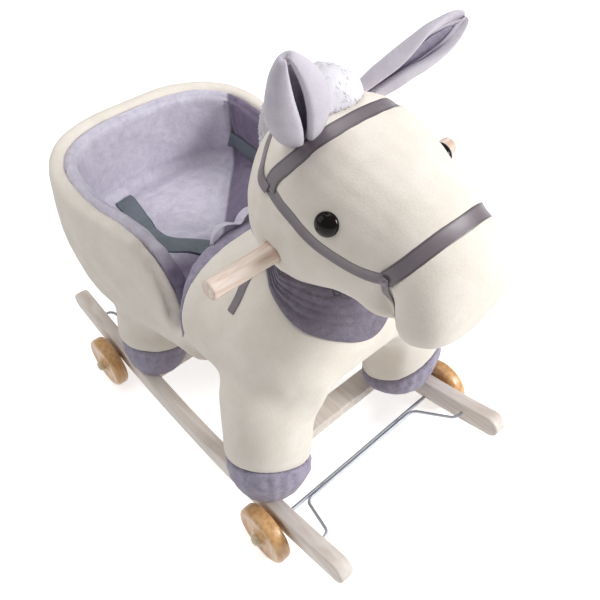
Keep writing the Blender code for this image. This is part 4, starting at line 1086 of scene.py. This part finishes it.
class TOY_OT_mane(bpy.types.Operator):
    """Makes the fleece mane: a soft core with combed locks over it"""

    bl_idname = "toy.mane"
    bl_label = "Comb the mane"

    def execute(self, context):
        core = new_piece("mane_core", frame["nodes"]["mane"].data.copy(), "white_fur", replaces=("mane",))
        remesh(core, 0.0028)
        relax(core, 40)
        swell(core, lumps(0.0022, 0.016, 1.5))
        core.data.shade_smooth()
        rng = random.Random(LOCK_SEED)
        faces = [face for face in core.data.polygons if face.normal.z > -0.5]
        areas = np.cumsum([face.area for face in faces])
        verts, quads = [], []
        for _ in range(sizes().lock_count):
            face = faces[int(np.searchsorted(areas, rng.uniform(0, areas[-1])))]
            way = (face.normal * 0.75 + Vector((0, 0.55, -0.25))).normalized()
            droop = Vector((rng.uniform(-0.3, 0.3), 0.6, -0.9)) - face.normal * 0.4
            reach = sizes().lock_length * rng.uniform(0.55, 1.0)
            rings = lock(face.center - face.normal * 0.001, way, droop, reach, rng)
            base = len(verts)
            verts.extend(p for ring in rings for p in ring)
            for ring in range(base, len(verts) - 3, 3):
                quads.extend((ring + j, ring + (j + 1) % 3, ring + 3 + (j + 1) % 3, ring + 3 + j)
                             for j in range(3))
        mesh = bpy.data.meshes.new("mane_locks")
        mesh.from_pydata([tuple(v) for v in verts], [], quads)
        mesh.shade_smooth()
        new_piece("mane_locks", mesh, "white_fur")
        return {"FINISHED"}


class TOY_OT_eyes(bpy.types.Operator):
    """Sets the glossy eyes into the plush"""

    bl_idname = "toy.eyes"
    bl_label = "Set the eyes"

    def execute(self, context):
        head = ground_of(PIECES["head"])
        for side, s in SIDES:
            spot, normal, _, _ = head.find_nearest(Vector((s * EYE[0], EYE[1], EYE[2])))
            profile = [(EYE_RADIUS * math.sin(a), EYE_RADIUS * 0.62 * math.cos(a))
                       for a in spread(0, 1.75, 18)]
            profile += [(EYE_RADIUS * 0.9, -0.003), (0.0, -0.003)]
            turned("eye_dome_" + side, "eye_" + side, profile, spot - normal * 0.0004, normal,
                   "black_plastic", 56)
        return {"FINISHED"}


# Scarf


SCARF_LOW = ((-0.05, -0.082, 0.356), (-0.063, -0.099, 0.3481), (-0.0721, -0.1146, 0.3386),
             (-0.0743, -0.1361, 0.3243), (-0.0698, -0.1533, 0.3122), (-0.0565, -0.1686, 0.3021),
             (-0.0335, -0.1819, 0.2889), (-0.0095, -0.188, 0.278))
SCARF_HIGH = ((-0.046, -0.086, 0.36), (-0.054, -0.103, 0.356), (-0.06, -0.115, 0.35),
              (-0.056, -0.128, 0.346), (-0.048, -0.14, 0.34), (-0.038, -0.152, 0.334),
              (-0.022, -0.162, 0.326), (-0.007, -0.166, 0.322))
SCARF_THICKNESS = 0.0014
SCARF_STEP = 0.0035


class TOY_OT_scarf(bpy.types.Operator):
    """Wraps the velvet scarf round the neck in three soft folds"""

    bl_idname = "toy.scarf"
    bl_label = "Tie the scarf"

    def execute(self, context):
        body = ground_of(PIECES["body"])
        low, high = (curve_through(whole_path(edge), SCARF_STEP) for edge in (SCARF_LOW, SCARF_HIGH))
        count = len(low)
        rows = []
        for i in range(count):
            along = i / (count - 1)
            top = high[round(along * (len(high) - 1))]
            wander = 0.16 * math.sin(6 * along + 0.8)
            gather = ease(5 * min(along, 1 - along) + 0.2)
            row = []
            for share in spread(0, 1.3, 57):
                spot, normal, _, _ = body.find_nearest(low[i].lerp(top, share))
                pleat = abs(math.sin(math.pi * ((share - 0.42) / 0.70 * 3.4 + wander))) ** 0.6
                pleated = above(share, 0.36, 0.12)
                folds = 0.0026 * bell(share - 0.16, 0.18) + pleated * (0.0030 + 0.0030 * pleat)
                folds += 0.0055 * above(share, 0.72, 0.3)
                height = 0.0014 + folds * gather + 0.0006 * noise.noise(spot * 60)
                row.append(spot + normal * height)
            rows.append(row)
        scarf = new_piece("scarf_velvet", grid_mesh("scarf_velvet", rows), "scarf_velvet",
                          replaces=("scarf",))
        thicken(scarf, SCARF_THICKNESS)
        return {"FINISHED"}


# Timber, wheels and wire


ROCKER_RADIUS = 1.103
ROCKER_HEIGHT = 0.0316
WHEEL_RADIUS = 0.0393
AXLE_Y = 0.184
AXLE_RADIUS = 0.0025
WIRE_RADIUS = 0.002
WIRE_BEND = 0.012
CLEARANCE = 0.0003
PIVOT_Y = 0.246
AXLE_HALF = 0.1808
WHEEL_X = 0.1648
CAP_X = 0.1766
CAP_RADIUS = 0.0075
WELD_X = 0.070
DOWEL_EDGE = 0.0022  # radius of the handle's softened ends


def sole(y):
    """Height of a rocker's curved under side."""
    return WHEEL_RADIUS + math.sqrt(ROCKER_RADIUS**2 - AXLE_Y**2) - math.sqrt(ROCKER_RADIUS**2 - y * y)


PIVOT_Z = sole(PIVOT_Y) + ROCKER_HEIGHT / 2


class TOY_OT_rockers(bpy.types.Operator):
    """Saws the curved rockers, sands their edges round and notches them for the axles"""

    bl_idname = "toy.rockers"
    bl_label = "Saw the rockers"

    def execute(self, context):
        tip = ROCKER_HEIGHT / 2
        for side, s in SIDES:
            low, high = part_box("rocker_" + side)
            reach = high[1] - tip
            outline = []
            for way, rise in ((1, 0.0), (-1, ROCKER_HEIGHT)):
                outline += [(y, sole(y) + rise) for y in spread(-way * reach, way * reach, 61)]
                for turn in spread(-math.pi / 2, math.pi / 2, 15)[1:-1]:
                    outline.append((way * (reach + tip * math.cos(turn)),
                                    sole(reach) + tip + way * tip * math.sin(turn)))
            bm = bmesh.new()
            near, far = ([bm.verts.new((x, y, z)) for y, z in outline] for x in (low[0], high[0]))
            for i in range(len(outline)):
                bm.faces.new((near[i - 1], near[i], far[i], far[i - 1]))
            bm.faces.new(near[::-1])
            bm.faces.new(far)
            bmesh.ops.recalc_face_normals(bm, faces=bm.faces)
            name = "rocker_board_" + side
            rocker = new_piece(name, mesh_of(bm, name), "beech", replaces=("rocker_" + side,))
            modify(rocker, "BEVEL", width=sizes().rocker_edge, segments=5, limit_method="ANGLE",
                   angle_limit=math.radians(50))
            settle(rocker)
            for _, e in ENDS:
                cut_round(rocker, Vector((low[0] - 0.01, e * AXLE_Y, WHEEL_RADIUS)),
                          Vector((high[0] + 0.01, e * AXLE_Y, WHEEL_RADIUS)), AXLE_RADIUS + CLEARANCE)
            keep_edges(rocker.data, 30)
        return {"FINISHED"}


def cut_round(piece, start, end, radius):
    """Drills a round hole or notch through a piece."""
    bm = bmesh.new()
    bmesh.ops.create_cone(bm, cap_ends=True, segments=24, radius1=radius, radius2=radius,
                          depth=(end - start).length)
    bmesh.ops.transform(bm, matrix=placed((start + end) / 2, end - start), verts=bm.verts)
    drill = add_object("drill", mesh_of(bm, "drill"))
    modify(piece, "BOOLEAN", operation="DIFFERENCE", object=drill)
    settle(piece)
    bpy.data.objects.remove(drill)


class TOY_OT_wheels(bpy.types.Operator):
    """Turns the four wheels on their axles and pushes on the caps"""

    bl_idname = "toy.wheels"
    bl_label = "Turn the wheels"

    def execute(self, context):
        bore = AXLE_RADIUS + CLEARANCE
        face = [(bore, 0.0115), (0.0085, 0.0115), (0.01, 0.011), (0.011, 0.01), (0.0125, 0.0088),
                (0.016, 0.0082), (0.023, 0.0081), (0.0285, 0.0085), (0.0315, 0.0096)]
        tread = [(0.0333 + 0.006 * math.cos(a), 0.004 + 0.006 * math.sin(a)) for a in spread(1.45, 0.12, 7)]
        outer = face + tread
        inner = [(r, -h) for r, h in reversed(outer[3:])]
        profile = outer + inner + [(0.01, -0.011), (0.008, -0.0155), (bore, -0.0155)]
        cap = [(CAP_RADIUS * math.sin(a), CAP_RADIUS * (0.35 + 0.65 * math.cos(a)))
               for a in spread(0, 1.48, 9)]
        cap += [(CAP_RADIUS, 0.0), (bore, 0.0), (bore, 0.0041), (0.0, 0.0041)]
        for end, e in ENDS:
            for side, s in SIDES:
                name = f"{end}_{side}"
                turned("wheel_turned_" + name, "wheel_" + name, profile,
                       (s * WHEEL_X, e * AXLE_Y, WHEEL_RADIUS), (s, 0, 0), "varnished_beech", 96,
                       body="running_wheel_" + name, closed=True)
                turned("cap_domed_" + name, "axle_cap_" + name, cap,
                       (s * CAP_X, e * AXLE_Y, WHEEL_RADIUS), (s, 0, 0), "cap_plastic", 40,
                       body=end + "_swing")
        return {"FINISHED"}


def rounded_path(corners, radius):
    """Straight runs joined by arcs, as a wire bender makes them."""
    points = [Vector(corners[0])]
    for before, corner, after in zip(corners, corners[1:], corners[2:]):
        corner = Vector(corner)
        back = (Vector(before) - corner).normalized()
        ahead = (Vector(after) - corner).normalized()
        half = back.angle(ahead) / 2
        centre = corner + (back + ahead).normalized() * radius / math.sin(half)
        start = corner + back * radius / math.tan(half) - centre
        axis = back.cross(ahead)
        for share in spread(0, 1, 9):
            turn = Matrix.Rotation((math.pi - 2 * half) * -share, 3, axis)
            points.append(centre + turn @ start)
    points.append(Vector(corners[-1]))
    return points


class TOY_OT_wires(bpy.types.Operator):
    """Bends the two wire frames and welds them to their axles"""

    bl_idname = "toy.wires"
    bl_label = "Bend the wire frames"

    def execute(self, context):
        bead = [(0.0, 0.006), (0.0016, 0.0045), (0.0022, 0.0), (0.0016, -0.0045), (0.0, -0.006)]
        rod = [(0.0, AXLE_HALF), (0.0021, AXLE_HALF), (AXLE_RADIUS, AXLE_HALF - 0.0004)]
        rod += [(r, -h) for r, h in reversed(rod)]
        for end, e in ENDS:
            swing, node = end + "_swing", end + "_wheel_frame"
            axle = Vector((0, e * AXLE_Y, WHEEL_RADIUS))
            arm = axle - Vector((0, e * PIVOT_Y, PIVOT_Z))
            seat = axle - arm.normalized() * (AXLE_RADIUS + WIRE_RADIUS + CLEARANCE)
            half = [(0.137, e * PIVOT_Y, PIVOT_Z), (0.117, e * PIVOT_Y, PIVOT_Z), (0.099, seat.y, seat.z)]
            path = rounded_path(half + mirrored(half), WIRE_BEND)
            wire = bpy.data.curves.new("wire_frame_" + end, "CURVE")
            wire.dimensions = "3D"
            wire.bevel_depth = WIRE_RADIUS
            wire.bevel_resolution = 5
            wire.use_fill_caps = True
            line = wire.splines.new("POLY")
            line.points.add(len(path) - 1)
            for point, spot in zip(line.points, path):
                point.co = (*spot, 1)
            new_piece("wire_frame_" + end, wire, "steel", body=swing, replaces=(node,))
            turned("axle_rod_" + end, end + "_axle", rod, axle, (1, 0, 0), "steel", 32, body=swing)
            for side, s in SIDES:
                at = (axle + seat) / 2 + Vector((s * WELD_X, 0, 0))
                turned(f"weld_{end}_{side}", node, bead, at, (1, 0, 0), "steel", 16, body=swing)
        return {"FINISHED"}


class TOY_OT_handle(bpy.types.Operator):
    """Turns the grab dowel through the head, with softened ends"""

    bl_idname = "toy.handle"
    bl_label = "Turn the handle"

    def execute(self, context):
        low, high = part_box("handle")
        half = high[0]
        radius = (high[2] - low[2]) / 2
        end = [(radius + DOWEL_EDGE * (math.cos(a) - 1), half + DOWEL_EDGE * (math.sin(a) - 1))
               for a in spread(math.pi / 2, 0, 6)]
        profile = [(0.0, half)] + end + [(r, -h) for r, h in reversed(end)] + [(0.0, -half)]
        at = (0, (low[1] + high[1]) / 2, (low[2] + high[2]) / 2)
        turned("handle_dowel", "handle", profile, at, (1, 0, 0), "dowel", 64)
        return {"FINISHED"}


# Studio


LAMPS = (  # name, place, width, watts
    ("key", (1.05, -1.62, 1.18), 0.7, 33),
    ("top", (0.1, 0.4, 2.0), 1.4, 12),
    ("fill", (-1.25, 0.8, 1.2), 1.2, 5),
)
LIT_SPOT = (0, -0.02, 0.28)
FLOOR_HALF = 6
CAMERA_TARGET = (0.0193, -0.0504, 0.215845)
CAMERA_DISTANCE = 0.8266
CAMERA_TURN = -40.4
CAMERA_HEIGHT = 45.7
CAMERA_ROLL = -2.2
FOCAL_MM = 39.36
SENSOR_MM = 36
WHITE = (1, 1, 1, 1)


class TOY_OT_studio(bpy.types.Operator):
    """Sets up the pale floor, the soft lights and the camera"""

    bl_idname = "toy.studio"
    bl_label = "Set up the studio"

    def execute(self, context):
        scene = context.scene
        corners = [[(x, y, 0) for x in (-FLOOR_HALF, FLOOR_HALF)] for y in (-FLOOR_HALF, FLOOR_HALF)]
        floor = add_object("floor", grid_mesh("floor", corners))
        made, tree = new_finish("studio floor, matt white")
        matt = add_node(tree, "BsdfPrincipled", {"Base Color": (0.9, 0.9, 0.9, 1), "Roughness": 0.9,
                                                 "Specular IOR Level": 0.1})
        glow = add_node(tree, "Emission", {"Color": WHITE, "Strength": 0.60})
        rays = add_node(tree, "LightPath").node.outputs
        seen = maths(tree, "MAXIMUM", rays["Is Camera Ray"], rays["Is Glossy Ray"])
        both = add_node(tree, "AddShader", {0: matt, 1: glow})
        pick = add_node(tree, "MixShader", {0: seen, 1: matt, 2: both})
        below_floor = add_node(tree, "NewGeometry", out="Backfacing")
        clear = add_node(tree, "BsdfTransparent")
        add_node(tree, "OutputMaterial",
                 {"Surface": add_node(tree, "MixShader", {0: below_floor, 1: pick, 2: clear})})
        floor.data.materials.append(made)

        world = bpy.data.worlds.new("studio")
        world.use_nodes = True
        scene.world = world
        tree = world.node_tree
        tree.nodes.clear()
        rays = add_node(tree, "LightPath").node.outputs
        seen = maths(tree, "MAXIMUM", rays["Is Camera Ray"], rays["Is Transmission Ray"])
        sky = add_node(tree, "Background", {"Color": WHITE, "Strength": ramp(tree, seen, 0, 1, 0.33, 1.0)})
        add_node(tree, "OutputWorld", {"Surface": sky})

        for name, at, size, watts in LAMPS:
            lamp = bpy.data.lights.new(name, "AREA")
            lamp.size = size
            lamp.energy = watts
            light = add_object(name, lamp)
            light.location = at
            light.rotation_euler = (Vector(LIT_SPOT) - Vector(at)).to_track_quat("-Z", "Y").to_euler()

        lens = bpy.data.cameras.new("camera")
        lens.sensor_width = SENSOR_MM
        lens.lens = FOCAL_MM
        camera = add_object("camera", lens)
        a, e, roll = (math.radians(angle) for angle in (CAMERA_TURN, CAMERA_HEIGHT, CAMERA_ROLL))
        right = Vector((math.cos(a), math.sin(a), 0))
        back = Vector((math.sin(a) * math.cos(e), -math.cos(a) * math.cos(e), math.sin(e)))
        up = back.cross(right)
        rolled_right = right * math.cos(roll) + up * math.sin(roll)
        rolled_up = up * math.cos(roll) - right * math.sin(roll)
        turn = Matrix((rolled_right, rolled_up, back)).transposed().to_4x4()
        camera.matrix_world = Matrix.Translation(Vector(CAMERA_TARGET) + back * CAMERA_DISTANCE) @ turn
        scene.camera = camera
        scene.view_settings.view_transform = "Standard"
        return {"FINISHED"}


class TOY_PT_panel(bpy.types.Panel):
    """Lists the toy's pieces in the order they are made"""

    bl_idname = "TOY_PT_panel"
    bl_label = "Rocking Toy"
    bl_space_type = "VIEW_3D"
    bl_region_type = "UI"
    bl_category = "Rocking Toy"

    def draw(self, context):
        for step in STEPS:
            self.layout.operator(step.bl_idname)
        for group in (context.scene.toy_sizes, context.scene.toy_colours):
            for key in group.__annotations__:
                self.layout.prop(group, key)


STEPS = (TOY_OT_finishes, TOY_OT_head, TOY_OT_body, TOY_OT_hooves, TOY_OT_seat, TOY_OT_belts, TOY_OT_ears,
         TOY_OT_mane, TOY_OT_eyes, TOY_OT_bridle, TOY_OT_scarf, TOY_OT_rockers, TOY_OT_wheels,
         TOY_OT_wires, TOY_OT_handle, TOY_OT_studio)
GROUPS = (ToyColours, ToySizes)


def register():
    for made in (*GROUPS, *STEPS, TOY_PT_panel):
        bpy.utils.register_class(made)
    bpy.types.Scene.toy_colours = PointerProperty(type=ToyColours)
    bpy.types.Scene.toy_sizes = PointerProperty(type=ToySizes)


def unregister():
    del bpy.types.Scene.toy_sizes
    del bpy.types.Scene.toy_colours
    for made in reversed((*GROUPS, *STEPS, TOY_PT_panel)):
        bpy.utils.unregister_class(made)


def main():
    register()
    for step in STEPS:
        group, name = step.bl_idname.split(".")
        getattr(getattr(bpy.ops, group), name)()


if __name__ == "__main__":
    main()
